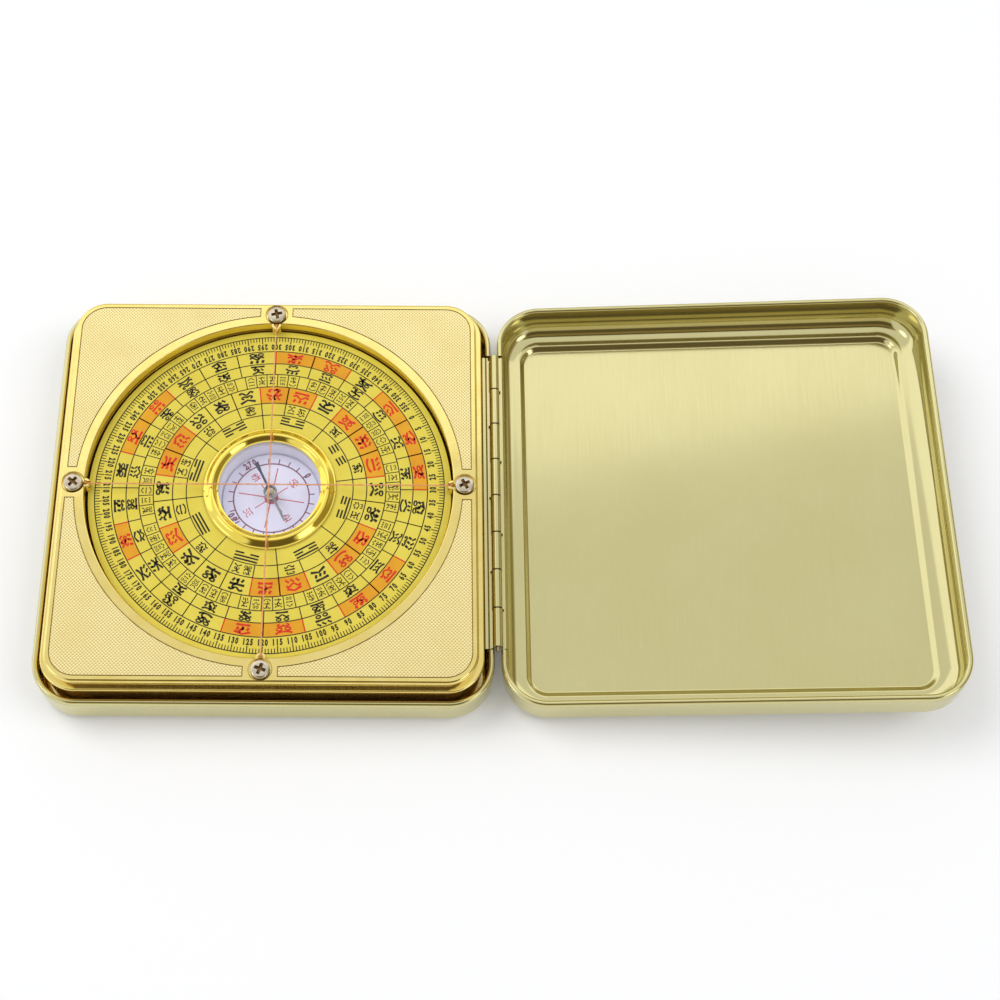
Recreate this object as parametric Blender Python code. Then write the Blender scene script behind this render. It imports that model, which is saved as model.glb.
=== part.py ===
# A feng shui compass in a flat hinged case, laid open.
# Metres, +Z up. The turning dial lies at -X, the empty lid at +X, the hinge runs along Y.
# The origin is the middle of the open case, on the surface that it rests on.

import math

import bmesh
import bpy
from mathutils import Matrix

for leftover in list(bpy.data.objects):
    bpy.data.objects.remove(leftover, do_unlink=True)

# Room between a piece and the one that carries it, how far a cutter runs past what it cuts,
# and the distance under which two corners of a cut are one
SEAT_GAP = 0.0003
OVERRUN = 0.001
WELD = 0.000002

# Case halves, both from one stamping
TRAY_LENGTH = 0.0850
TRAY_WIDTH = 0.0840
TRAY_HEIGHT = 0.0085
TRAY_CORNER_RADIUS = 0.0085
SHEET = 0.0005
OUTER_FILLET = 0.0018
INNER_FILLET = 0.0016
BEAD_RADIUS = 0.00058
CREASE_DEPTH = 0.00015
CREASE_HEIGHT = 0.0003
PANEL_RISE = 0.0008
PANEL_MARGIN = 0.0043
PANEL_STEP = 0.0013

# Hinge
HINGE_REVEAL = 0.0006
RIM_GAP_CLOSED = 0.0003
LID_LIFT = math.radians(4.16)
KNUCKLE_COUNT = 8
HINGE_END_ROOM = 0.01124
KNUCKLE_GAP = 0.0003
KNUCKLE_RADIUS = 0.00095
LEAF_SHEET = 0.0004
LEAF_BEND_RADIUS = 0.0001
LEAF_DEPTH = 0.0045
LEAF_KNUCKLE_ROOM = 0.00025
ROLL_SWEEP = math.radians(295)
PIN_RADIUS = 0.00045
PIN_PROUD = 0.00075
PIN_CHAMFER = 0.00015

# Insert: moulded square that stands in the base tray, with this much room to the tray's outside
INSERT_END_ROOM = 0.00235
INSERT_SIDE_ROOM = 0.00175
INSERT_HEIGHT = 0.0131
INSERT_CORNER_LESS = 0.0018
INSERT_WALL = 0.0012
INSERT_FOOT_CHAMFER = 0.0004
LEDGE_WIDTH = 0.0007
LEDGE_EDGE_RADIUS = 0.0003
PLATE_EDGE_HEIGHT = 0.0028
PLATE_EDGE_RADIUS = 0.0004
RECESS_SIDE_ROOM = 0.0053
RECESS_DEPTH = 0.0045
BACK_THICKNESS = 0.0012

# Thread screws and thread eyelets, at the middle of each side of the round recess
SCREW_SETBACK = 0.00215
SCREW_HEAD_RADIUS = 0.0018
SCREW_HEAD_HEIGHT = 0.00065
SCREW_HEAD_CROWN = 0.0003
SCREW_SHANK_RADIUS = 0.00075
SCREW_SHANK_LENGTH = 0.0046
SCREW_SLOT_LENGTH = 0.0022
SCREW_SLOT_WIDTH = 0.0005
SCREW_SLOT_DEPTH = 0.0004
SCREW_SINK = 0.0006
SCREW_BOSS_WALL = 0.0008
SCREW_BOSS_FLOOR = 0.0006
EYELET_OVERHANG = 0.0001
EYELET_RADIUS = 0.0010
EYELET_HOLE_RADIUS = 0.0005
EYELET_HEIGHT = 0.0020
EYELET_SINK = 0.00015

# Sighting threads
THREAD_DIAMETER = 0.00035
THREAD_SINK = 0.0005
THREAD_CROSSING_GAP = 0.00015
THREAD_TAIL = 0.0009
THREAD_BEND_RADIUS = 0.0003

# Turning dial
DISC_THICKNESS = 0.0013
DISC_EDGE_CHAMFER = 0.00015
DISC_SEAT_DEPTH = 0.0006
LABEL_THICKNESS = 0.0001
LABEL_MARGIN = 0.0003
CAPSULE_RADIUS = 0.0109
CAPSULE_WALL = 0.0013
CAPSULE_DEPTH = 0.0050
CAPSULE_FLOOR = 0.00045
CAPSULE_FLANGE = 0.0008
SPIGOT_RADIUS = 0.0022
CARD_THICKNESS = 0.0002
LENS_THICKNESS = 0.0006
LENS_REBATE = 0.0008
LENS_SEAT_DEPTH = 0.0006
BEZEL_OVERHANG = 0.0017
BEZEL_EDGE = 0.0001
BEZEL_SHOULDER = 0.0006
BEZEL_GROOVE_OFFSET = 0.0008
BEZEL_GROOVE_DEPTH = 0.00012
BEZEL_HEIGHT = 0.0010
BEZEL_INNER_FLANK = 0.0004
WINDOW_MARGIN = 0.0001
COLLAR_WALL = 0.0020
RETAINER_THICKNESS = 0.0008
HUB_HEAD_RADIUS = 0.0032
HUB_HEAD_HEIGHT = 0.0009
HUB_SHANK_RADIUS = 0.0006
HUB_SHANK_LENGTH = 0.0012

# Needle and what carries it
NEEDLE_LENGTH = 0.0136
NEEDLE_WIDTH = 0.00045
NEEDLE_TIP_WIDTH = 0.0008
NEEDLE_TIP_LENGTH = 0.0022
NEEDLE_EYE_WALL = 0.0003
NEEDLE_THICKNESS = 0.0002
NEEDLE_TURN = math.radians(115.8)
CAP_RADIUS = 0.0012
CAP_BOSS_RADIUS = 0.0007
CAP_BORE_RADIUS = 0.0005
CAP_SHOULDER_HEIGHT = 0.0007
CAP_BOSS_HEIGHT = 0.00085
CAP_HEADROOM = 0.0004
CAP_CROWN = 0.0002
CAP_ROOF = 0.0004
PIVOT_RADIUS = 0.0003
PIVOT_FOOT_RADIUS = 0.0008
PIVOT_FOOT_HEIGHT = 0.0003
PIVOT_POINT_LENGTH = 0.0006
PIVOT_TIP_RADIUS = 0.00006

# Mounting tape under the insert, with this much room to the insert's outside
TAPE_WIDTH = 0.0120
TAPE_END_ROOM = 0.01025
TAPE_SIDE_ROOM = 0.00915

# Facets round a corner, round a large ring, round a small one
CORNER_STEPS = 6
FILLET_STEPS = 4
BEAD_STEPS = 8
RING_STEPS = 72
WELL_STEPS = 48
PEG_STEPS = 16
ROLL_STEPS = 14
THREAD_SIDES = 8

# Heights above the surface that the case rests on
AXIS_Z = PANEL_RISE + TRAY_HEIGHT + RIM_GAP_CLOSED / 2
RING_TOP_Z = PANEL_RISE + SHEET
INSERT_BOTTOM_Z = RING_TOP_Z + SEAT_GAP
INSERT_TOP_Z = INSERT_BOTTOM_Z + INSERT_HEIGHT
LEDGE_Z = INSERT_TOP_Z - PLATE_EDGE_HEIGHT
PLATE_UNDER_Z = INSERT_TOP_Z - INSERT_WALL
RECESS_FLOOR_Z = INSERT_TOP_Z - RECESS_DEPTH
RECESS_UNDER_Z = RECESS_FLOOR_Z - INSERT_WALL
DISC_BOTTOM_Z = RECESS_FLOOR_Z + SEAT_GAP
DISC_TOP_Z = DISC_BOTTOM_Z + DISC_THICKNESS
DISC_SEAT_Z = DISC_TOP_Z - DISC_SEAT_DEPTH
LABEL_BOTTOM_Z = DISC_TOP_Z + SEAT_GAP
LABEL_TOP_Z = LABEL_BOTTOM_Z + LABEL_THICKNESS
BEZEL_BOTTOM_Z = LABEL_TOP_Z + SEAT_GAP
CAPSULE_TOP_Z = BEZEL_BOTTOM_Z - SEAT_GAP
CAPSULE_BOTTOM_Z = CAPSULE_TOP_Z - CAPSULE_DEPTH
CAPSULE_FLOOR_Z = CAPSULE_BOTTOM_Z + CAPSULE_FLOOR
CARD_BOTTOM_Z = CAPSULE_FLOOR_Z + SEAT_GAP
CARD_TOP_Z = CARD_BOTTOM_Z + CARD_THICKNESS
LENS_SEAT_Z = CAPSULE_TOP_Z - LENS_SEAT_DEPTH
LENS_BOTTOM_Z = LENS_SEAT_Z + SEAT_GAP
LENS_TOP_Z = LENS_BOTTOM_Z + LENS_THICKNESS
RETAINER_TOP_Z = CAPSULE_BOTTOM_Z - SEAT_GAP
RETAINER_BOTTOM_Z = RETAINER_TOP_Z - RETAINER_THICKNESS
HUB_HEAD_TOP_Z = RETAINER_BOTTOM_Z - SEAT_GAP
SCREW_SEAT_Z = INSERT_TOP_Z - SCREW_SINK
SCREW_HEAD_Z = SCREW_SEAT_Z + SEAT_GAP
SCREW_TIP_Z = SCREW_HEAD_Z - SCREW_SHANK_LENGTH
SCREW_HOLE_Z = SCREW_TIP_Z - SEAT_GAP
THREAD_LOW_Z = INSERT_TOP_Z - THREAD_SINK
THREAD_HIGH_Z = THREAD_LOW_Z + THREAD_DIAMETER + THREAD_CROSSING_GAP
CAP_TOP_Z = LENS_BOTTOM_Z - CAP_HEADROOM
CAP_SHOULDER_Z = CAP_TOP_Z - CAP_BOSS_HEIGHT
CAP_BOTTOM_Z = CAP_SHOULDER_Z - CAP_SHOULDER_HEIGHT
NEEDLE_Z = CAP_SHOULDER_Z + SEAT_GAP
CAP_BORE_TOP_Z = CAP_TOP_Z - CAP_ROOF
PIVOT_TIP_Z = CAP_BORE_TOP_Z - SEAT_GAP

# Radii and lengths that follow from the sizes above
INSERT_LENGTH = TRAY_LENGTH - 2 * INSERT_END_ROOM
INSERT_WIDTH = TRAY_WIDTH - 2 * INSERT_SIDE_ROOM
INSERT_CORNER_RADIUS = TRAY_CORNER_RADIUS - INSERT_CORNER_LESS
TAPE_LENGTH = INSERT_WIDTH - 2 * TAPE_END_ROOM
TAPE_OFFSET = INSERT_LENGTH / 2 - TAPE_SIDE_ROOM - TAPE_WIDTH / 2
RECESS_RADIUS = min(INSERT_LENGTH, INSERT_WIDTH) / 2 - RECESS_SIDE_ROOM
SCREW_CIRCLE_RADIUS = RECESS_RADIUS + SCREW_SETBACK
EYELET_CIRCLE_RADIUS = RECESS_RADIUS - EYELET_OVERHANG
KNUCKLE_PITCH = (TRAY_WIDTH - 2 * HINGE_END_ROOM) / KNUCKLE_COUNT
BORE_RADIUS = CAPSULE_RADIUS + SEAT_GAP
COLLAR_RADIUS = BORE_RADIUS + COLLAR_WALL
RECESS_WALL_RADIUS = RECESS_RADIUS + INSERT_WALL
DISC_RADIUS = RECESS_RADIUS - SEAT_GAP
FLANGE_RADIUS = CAPSULE_RADIUS + CAPSULE_FLANGE
DISC_SEAT_RADIUS = FLANGE_RADIUS + SEAT_GAP
WELL_RADIUS = CAPSULE_RADIUS - CAPSULE_WALL
WINDOW_RADIUS = WELL_RADIUS + WINDOW_MARGIN
BEZEL_RADIUS = CAPSULE_RADIUS + BEZEL_OVERHANG
BEZEL_GROOVE_RADIUS = CAPSULE_RADIUS + BEZEL_GROOVE_OFFSET
LENS_SEAT_RADIUS = WELL_RADIUS + LENS_REBATE
LENS_RADIUS = LENS_SEAT_RADIUS - SEAT_GAP
CARD_RADIUS = WELL_RADIUS - SEAT_GAP
CARD_HOLE_RADIUS = PIVOT_FOOT_RADIUS + SEAT_GAP
RETAINER_RADIUS = COLLAR_RADIUS - SEAT_GAP
SCREW_HOLE_RADIUS = SCREW_SHANK_RADIUS + SEAT_GAP
SCREW_BOSS_RADIUS = SCREW_HOLE_RADIUS + SCREW_BOSS_WALL
SCREW_SEAT_RADIUS = SCREW_HEAD_RADIUS + SEAT_GAP
HOLLOW_LENGTH = INSERT_LENGTH - 2 * (LEDGE_WIDTH + INSERT_WALL)
HOLLOW_WIDTH = INSERT_WIDTH - 2 * (LEDGE_WIDTH + INSERT_WALL)
HOLLOW_CORNER_RADIUS = INSERT_CORNER_RADIUS - LEDGE_WIDTH - INSERT_WALL
HINGE_HALF_LENGTH = KNUCKLE_COUNT * KNUCKLE_PITCH / 2
NOTCH_HALF_LENGTH = HINGE_HALF_LENGTH + SEAT_GAP
NOTCH_FLOOR = KNUCKLE_RADIUS + SEAT_GAP
TRAY_MIDDLE = HINGE_REVEAL + TRAY_LENGTH / 2

# The lifted lid reaches this far from the hinge axis, and the axis is set so that the open case is centred
LID_REACH = (
    (HINGE_REVEAL + TRAY_LENGTH - OUTER_FILLET) * math.cos(LID_LIFT)
    + (TRAY_HEIGHT + RIM_GAP_CLOSED / 2 - OUTER_FILLET) * math.sin(LID_LIFT)
    + OUTER_FILLET
)
AXIS_X = (HINGE_REVEAL + TRAY_LENGTH - LID_REACH) / 2
DIAL_X = AXIS_X - TRAY_MIDDLE

# The screws are at the right, far, left and near side of the dial, each turned as it was driven home
SCREW_SIDES = {"right": 0, "far": 1, "left": 2, "near": 3}
SCREW_TURNS = {
    "right": math.radians(28),
    "far": math.radians(12),
    "left": math.radians(52),
    "near": math.radians(70),
}

# Colours in linear values, with roughness and how metallic the surface is
FINISHES = {
    "champagne_tin": ((0.56, 0.50, 0.27), 0.30, 1.0),
    "gold_plating": ((0.83, 0.62, 0.18), 0.16, 1.0),
    "nickel": ((0.60, 0.56, 0.45), 0.28, 1.0),
    "brass": ((0.65, 0.48, 0.20), 0.30, 1.0),
    "disc_metal": ((0.69, 0.57, 0.17), 0.30, 1.0),
    "steel": ((0.45, 0.45, 0.45), 0.35, 1.0),
    "blued_steel": ((0.05, 0.06, 0.10), 0.35, 1.0),
    "yellow_print": ((0.78, 0.62, 0.05), 0.45, 0.0),
    "white_card": ((0.72, 0.72, 0.86), 0.55, 0.0),
    "white_plastic": ((0.75, 0.75, 0.80), 0.40, 0.0),
    "black_plastic": ((0.02, 0.02, 0.02), 0.50, 0.0),
    "clear_plastic": ((0.95, 0.95, 0.97), 0.05, 0.0),
    "red_thread": ((0.75, 0.14, 0.04), 0.60, 0.0),
    "foam_tape": ((0.80, 0.80, 0.78), 0.90, 0.0),
}


def finish(name):
    """The material of that name, made on first use."""
    material = bpy.data.materials.get(name)
    if material is None:
        colour, roughness, metallic = FINISHES[name]
        material = bpy.data.materials.new(name)
        material.use_nodes = True
        shader = material.node_tree.nodes["Principled BSDF"]
        shader.inputs["Base Color"].default_value = (*colour, 1)
        shader.inputs["Roughness"].default_value = roughness
        shader.inputs["Metallic"].default_value = metallic
        if name == "clear_plastic":
            shader.inputs["Transmission Weight"].default_value = 1
    return material


def empty(name, location, rotation=(0, 0, 0), parent=None):
    """A placing point; pieces that move together hang from one on their joint's axis."""
    holder = bpy.data.objects.new(name, None)
    holder.location = location
    holder.rotation_euler = rotation
    holder.parent = parent
    bpy.context.collection.objects.link(holder)
    return holder


def place(name, mesh, parent=None, material=None, location=(0, 0, 0), turn=0):
    """An object of this mesh under its parent."""
    piece = bpy.data.objects.new(name, mesh)
    piece.parent = parent
    piece.location = location
    piece.rotation_euler = (0, 0, turn)
    bpy.context.collection.objects.link(piece)
    if material:
        mesh.materials.clear()
        mesh.materials.append(finish(material))
        mesh.shade_smooth()
        mesh.set_sharp_from_angle(angle=math.radians(35))
    return piece


def mesh_from(name, bm):
    """A mesh with its faces turned outward."""
    bmesh.ops.recalc_face_normals(bm, faces=bm.faces)
    mesh = bpy.data.meshes.new(name)
    bm.to_mesh(mesh)
    bm.free()
    return mesh


def rounded_rectangle(length, width, radius, z):
    """Points of a rectangle with round corners, centred on the origin, at height z."""
    points = []
    for corner, (side_x, side_y) in enumerate(((1, 1), (-1, 1), (-1, -1), (1, -1))):
        middle_x = side_x * (length / 2 - radius)
        middle_y = side_y * (width / 2 - radius)
        for step in range(CORNER_STEPS + 1):
            angle = (corner + step / CORNER_STEPS) * math.pi / 2
            points.append((middle_x + radius * math.cos(angle), middle_y + radius * math.sin(angle), z))
    return points


def lofted(name, loops):
    """A solid through loops of as many points each, closed with a flat face at both ends."""
    bm = bmesh.new()
    rows = [[bm.verts.new(point) for point in loop] for loop in loops]
    count = len(rows[0])
    for lower, upper in zip(rows, rows[1:]):
        for index in range(count):
            after = (index + 1) % count
            bm.faces.new((lower[index], lower[after], upper[after], upper[index]))
    bm.faces.new(rows[0])
    bm.faces.new(rows[-1])
    return mesh_from(name, bm)


def rounded_block(name, length, width, radius, bottom, top):
    """A plate with round corners."""
    return lofted(name, [rounded_rectangle(length, width, radius, z) for z in (bottom, top)])


def turned(name, profile, steps):
    """A solid turned about Z from (radius, height) points, open in its middle unless it starts at 0."""
    bm = bmesh.new()
    rows = []
    for radius, height in profile:
        if radius == 0:
            rows.append([bm.verts.new((0, 0, height))] * steps)
            continue
        row = []
        for step in range(steps):
            angle = 2 * math.pi * step / steps
            row.append(bm.verts.new((radius * math.cos(angle), radius * math.sin(angle), height)))
        rows.append(row)
    pairs = list(zip(rows, rows[1:]))
    if profile[0][0] > 0:
        pairs.append((rows[-1], rows[0]))
    for lower, upper in pairs:
        for step in range(steps):
            after = (step + 1) % steps
            corners = []
            for vertex in (lower[step], lower[after], upper[after], upper[step]):
                if vertex not in corners:
                    corners.append(vertex)
            if len(corners) > 2:
                bm.faces.new(corners)
    return mesh_from(name, bm)


def peg(name, radius, bottom, top, steps=PEG_STEPS):
    """A plain round peg."""
    return turned(name, [(0, bottom), (radius, bottom), (radius, top), (0, top)], steps)


def block(name, low, high):
    """A box between two corners."""
    (x0, y0, z0), (x1, y1, z1) = low, high
    outline = ((x0, y0), (x1, y0), (x1, y1), (x0, y1))
    return lofted(name, [[(x, y, z) for x, y in outline] for z in (z0, z1)])


def combine(mesh, operation, *tools):
    """The mesh after each (tool mesh, location, turn) was cut from it or joined to it."""
    for tool, location, turn in tools:
        target = place("target", mesh)
        cutter = place("cutter", tool, location=location, turn=turn)
        cutter.hide_render = True
        cutter.display_type = "WIRE"
        modifier = target.modifiers.new("combine", "BOOLEAN")
        modifier.operation = operation
        modifier.solver = "EXACT"
        modifier.object = cutter
        bpy.context.view_layer.update()
        graph = bpy.context.evaluated_depsgraph_get()
        result = bmesh.new()
        result.from_mesh(target.evaluated_get(graph).data)
        bmesh.ops.remove_doubles(result, verts=result.verts, dist=WELD)
        bpy.data.objects.remove(target, do_unlink=True)
        bpy.data.objects.remove(cutter, do_unlink=True)
        mesh = mesh_from(mesh.name, result)
    return mesh


def on_side(side, radius):
    """Where a thing at this radius lies on one of the dial's four sides."""
    angle = SCREW_SIDES[side] * math.pi / 2
    return (radius * math.cos(angle), radius * math.sin(angle), 0), angle


def tray_section():
    """The stamping's section as (inset from the outer wall, height over the hinge axis)."""
    bottom = -(TRAY_HEIGHT + RIM_GAP_CLOSED / 2)
    top = -RIM_GAP_CLOSED / 2
    step_heights = []
    for step in range(FILLET_STEPS + 1):
        part = step / FILLET_STEPS
        inset = PANEL_MARGIN + PANEL_STEP * (1 - part)
        step_heights.append((inset, bottom - PANEL_RISE * (1 + math.cos(math.pi * part)) / 2))
    section = list(step_heights)
    for step in range(FILLET_STEPS + 1):
        angle = math.pi / 2 * step / FILLET_STEPS
        section.append((OUTER_FILLET * (1 - math.sin(angle)), bottom + OUTER_FILLET * (1 - math.cos(angle))))
    crease_angle = math.acos(1 - CREASE_DEPTH / BEAD_RADIUS)
    wall_angle = math.acos(SHEET / BEAD_RADIUS - 1)
    bead_z = top - BEAD_RADIUS
    section.append((0, bead_z - BEAD_RADIUS * math.sin(crease_angle) - CREASE_HEIGHT))
    for step in range(BEAD_STEPS + 1):
        sweep = math.pi + crease_angle + wall_angle
        angle = math.pi + crease_angle - sweep * step / BEAD_STEPS
        section.append((BEAD_RADIUS * (1 + math.cos(angle)), bead_z + BEAD_RADIUS * math.sin(angle)))
    inside = bottom + SHEET
    for step in range(FILLET_STEPS + 1):
        angle = math.pi / 2 * step / FILLET_STEPS
        inset = SHEET + INNER_FILLET * (1 - math.cos(angle))
        section.append((inset, inside + INNER_FILLET * (1 - math.sin(angle))))
    section.extend((inset, height + SHEET) for inset, height in reversed(step_heights))
    return section


def tray_mesh(name, side):
    """One case half about the hinge axis, on that side of it, with the notch for the hinge."""
    loops = []
    for inset, height in tray_section():
        length = TRAY_LENGTH - 2 * inset
        width = TRAY_WIDTH - 2 * inset
        loop = rounded_rectangle(length, width, TRAY_CORNER_RADIUS - inset, height)
        loops.append([(x + side * TRAY_MIDDLE, y, z) for x, y, z in loop])
    tray = lofted(name, loops)
    notch_end = side * (HINGE_REVEAL + 2 * BEAD_RADIUS + OVERRUN)
    notch = block(
        "notch",
        (min(0, notch_end), -NOTCH_HALF_LENGTH, -NOTCH_FLOOR),
        (max(0, notch_end), NOTCH_HALF_LENGTH, OVERRUN),
    )
    return combine(tray, "DIFFERENCE", (notch, (0, 0, 0), 0))


def leaf_section(side):
    """The leaf's two faces from foot to end of roll, and how many pairs lie before the knuckle."""
    wall_face = HINGE_REVEAL + SHEET + SEAT_GAP
    bend_x = wall_face - LEAF_BEND_RADIUS
    bend_z = -KNUCKLE_RADIUS - LEAF_BEND_RADIUS
    foot = -KNUCKLE_RADIUS - LEAF_DEPTH
    pairs = [((wall_face, foot), (wall_face + LEAF_SHEET, foot))]
    for step in range(FILLET_STEPS + 1):
        angle = math.pi / 2 * step / FILLET_STEPS
        pair = []
        for radius in (LEAF_BEND_RADIUS, LEAF_BEND_RADIUS + LEAF_SHEET):
            pair.append((bend_x + radius * math.cos(angle), bend_z + radius * math.sin(angle)))
        pairs.append(tuple(pair))
    end = KNUCKLE_RADIUS + LEAF_KNUCKLE_ROOM
    pairs.append(((end, -KNUCKLE_RADIUS), (end, LEAF_SHEET - KNUCKLE_RADIUS)))
    common = len(pairs)
    for step in range(ROLL_STEPS + 1):
        angle = -math.pi / 2 - ROLL_SWEEP * step / ROLL_STEPS
        pair = []
        for radius in (KNUCKLE_RADIUS, KNUCKLE_RADIUS - LEAF_SHEET):
            pair.append((radius * math.cos(angle), radius * math.sin(angle)))
        pairs.append(tuple(pair))
    mirrored = [tuple((side * x, z) for x, z in pair) for pair in pairs]
    return mirrored, common


def leaf_mesh(name, side, first_knuckle):
    """A hinge leaf of one sheet, rolled round the pin at every other knuckle."""
    pairs, common = leaf_section(side)
    stations = [-HINGE_HALF_LENGTH]
    for knuckle in range(first_knuckle, KNUCKLE_COUNT, 2):
        middle = HINGE_HALF_LENGTH - (knuckle + 1 / 2) * KNUCKLE_PITCH
        for end in (-1, 1):
            stations.append(middle + end * (KNUCKLE_PITCH - KNUCKLE_GAP) / 2)
    stations.append(HINGE_HALF_LENGTH)
    stations.sort()

    def filled(row, column):
        inside = 0 <= row < len(pairs) - 1 and 0 <= column < len(stations) - 1
        return inside and (row < common - 1 or column % 2 == 1)

    bm = bmesh.new()
    corners = {}

    def corner(row, column, face):
        key = (row, column, face)
        if key not in corners:
            x, z = pairs[row][face]
            corners[key] = bm.verts.new((x, stations[column], z))
        return corners[key]

    def quad(*keys):
        bm.faces.new([corner(*key) for key in keys])

    for row in range(len(pairs) - 1):
        for column in range(len(stations) - 1):
            if not filled(row, column):
                continue
            for face in (0, 1):
                quad((row, column, face), (row + 1, column, face),
                     (row + 1, column + 1, face), (row, column + 1, face))
            for edge, beyond in ((row, row - 1), (row + 1, row + 1)):
                if not filled(beyond, column):
                    quad((edge, column, 0), (edge, column + 1, 0), (edge, column + 1, 1), (edge, column, 1))
            for edge, beyond in ((column, column - 1), (column + 1, column + 1)):
                if not filled(row, beyond):
                    quad((row, edge, 0), (row + 1, edge, 0), (row + 1, edge, 1), (row, edge, 1))
    return mesh_from(name, bm)


def pin_mesh():
    """The hinge wire along Y, from the far end of the hinge to a little past its near end."""
    inner = PIN_RADIUS - PIN_CHAMFER
    far = HINGE_HALF_LENGTH
    near = -HINGE_HALF_LENGTH - PIN_PROUD
    profile = [
        (0, near), (inner, near), (PIN_RADIUS, near + PIN_CHAMFER),
        (PIN_RADIUS, far - PIN_CHAMFER), (inner, far), (0, far),
    ]
    mesh = turned("hinge_pin", profile, PEG_STEPS)
    mesh.transform(Matrix.Rotation(-math.pi / 2, 4, "X"))
    return mesh


def insert_body():
    """The insert's outside: foot chamfer, skirt, ledge and the raised plate with its soft edge."""
    rows = [
        (INSERT_FOOT_CHAMFER, INSERT_BOTTOM_Z),
        (0, INSERT_BOTTOM_Z + INSERT_FOOT_CHAMFER),
    ]
    edges = ((LEDGE_EDGE_RADIUS, 0, LEDGE_Z), (PLATE_EDGE_RADIUS, LEDGE_WIDTH, INSERT_TOP_Z))
    for radius, inset, top in edges:
        for step in range(FILLET_STEPS + 1):
            angle = math.pi / 2 * step / FILLET_STEPS
            rows.append((inset + radius * (1 - math.cos(angle)), top - radius * (1 - math.sin(angle))))
        if inset == 0:
            rows.append((LEDGE_WIDTH, top))
    loops = []
    for inset, z in rows:
        length = INSERT_LENGTH - 2 * inset
        width = INSERT_WIDTH - 2 * inset
        loops.append(rounded_rectangle(length, width, INSERT_CORNER_RADIUS - inset, z))
    return lofted("insert_frame", loops)


def insert_hollow():
    """The room under the insert's plate, round the recess wall, the bore's collar and the screw bosses."""
    hollow = rounded_block("hollow", HOLLOW_LENGTH, HOLLOW_WIDTH, HOLLOW_CORNER_RADIUS,
                           INSERT_BOTTOM_Z - OVERRUN, PLATE_UNDER_Z)
    above = PLATE_UNDER_Z + OVERRUN
    stays = [
        (peg("recess wall", RECESS_WALL_RADIUS, RECESS_UNDER_Z, above, RING_STEPS), (0, 0, 0), 0),
        (peg("collar", COLLAR_RADIUS, CAPSULE_BOTTOM_Z, above, WELL_STEPS), (0, 0, 0), 0),
    ]
    for side in SCREW_SIDES:
        location, turn = on_side(side, SCREW_CIRCLE_RADIUS)
        boss = peg("boss", SCREW_BOSS_RADIUS, SCREW_HOLE_Z - SCREW_BOSS_FLOOR, above)
        stays.append((boss, location, turn))
    return combine(hollow, "DIFFERENCE", *stays)


def thread_heights(side):
    """The height of the thread that ends on this side."""
    return THREAD_LOW_Z if SCREW_SIDES[side] % 2 == 0 else THREAD_HIGH_Z


def insert_mesh():
    """The moulded insert."""
    frame = combine(insert_body(), "DIFFERENCE", (insert_hollow(), (0, 0, 0), 0))
    above = INSERT_TOP_Z + OVERRUN
    recess = peg("recess", RECESS_RADIUS, RECESS_FLOOR_Z, above, RING_STEPS)
    bore = peg("bore", BORE_RADIUS, CAPSULE_BOTTOM_Z - OVERRUN, above, WELL_STEPS)
    frame = combine(frame, "DIFFERENCE", (recess, (0, 0, 0), 0), (bore, (0, 0, 0), 0))
    eyelet_top = INSERT_TOP_Z - EYELET_SINK
    for side in SCREW_SIDES:
        location, turn = on_side(side, EYELET_CIRCLE_RADIUS)
        eyelet = peg("eyelet", EYELET_RADIUS, eyelet_top - EYELET_HEIGHT, eyelet_top)
        frame = combine(frame, "UNION", (eyelet, location, turn))
    for side in SCREW_SIDES:
        location, turn = on_side(side, SCREW_CIRCLE_RADIUS)
        seat = peg("screw seat", SCREW_SEAT_RADIUS, SCREW_SEAT_Z, above)
        hole = peg("screw hole", SCREW_HOLE_RADIUS, SCREW_HOLE_Z, above)
        frame = combine(frame, "DIFFERENCE", (seat, location, turn), (hole, location, turn))
        location, turn = on_side(side, EYELET_CIRCLE_RADIUS)
        height = thread_heights(side)
        tail = height - THREAD_TAIL - THREAD_DIAMETER / 2 - SEAT_GAP
        eye = peg("eye", EYELET_HOLE_RADIUS, tail, above)
        half_width = THREAD_DIAMETER / 2 + THREAD_CROSSING_GAP
        slot = block("thread slot", (-EYELET_RADIUS - OVERRUN, -half_width, height - half_width),
                     (0, half_width, above))
        frame = combine(frame, "DIFFERENCE", (eye, location, turn), (slot, location, turn))
    return frame


def screw_mesh():
    """A small pan-head screw with a cross recess, standing on the origin with its head's underside."""
    flat = SCREW_HEAD_RADIUS - SCREW_HEAD_CROWN
    profile = [(0, -SCREW_SHANK_LENGTH), (SCREW_SHANK_RADIUS, -SCREW_SHANK_LENGTH), (SCREW_SHANK_RADIUS, 0),
               (SCREW_HEAD_RADIUS, 0)]
    for step in range(FILLET_STEPS + 1):
        angle = math.pi / 2 * step / FILLET_STEPS
        profile.append((flat + SCREW_HEAD_CROWN * math.cos(angle),
                        SCREW_HEAD_HEIGHT - SCREW_HEAD_CROWN * (1 - math.sin(angle))))
    profile.append((0, SCREW_HEAD_HEIGHT))
    screw = turned("thread_screw", profile, PEG_STEPS)
    low = (-SCREW_SLOT_LENGTH / 2, -SCREW_SLOT_WIDTH / 2, SCREW_HEAD_HEIGHT - SCREW_SLOT_DEPTH)
    high = (SCREW_SLOT_LENGTH / 2, SCREW_SLOT_WIDTH / 2, SCREW_HEAD_HEIGHT + OVERRUN)
    slot = block("slot", low, high)
    crossing = block("crossing", low, high)
    return combine(screw, "DIFFERENCE", (slot, (0, 0, 0), 0), (crossing, (0, 0, 0), math.pi / 2))


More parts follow.
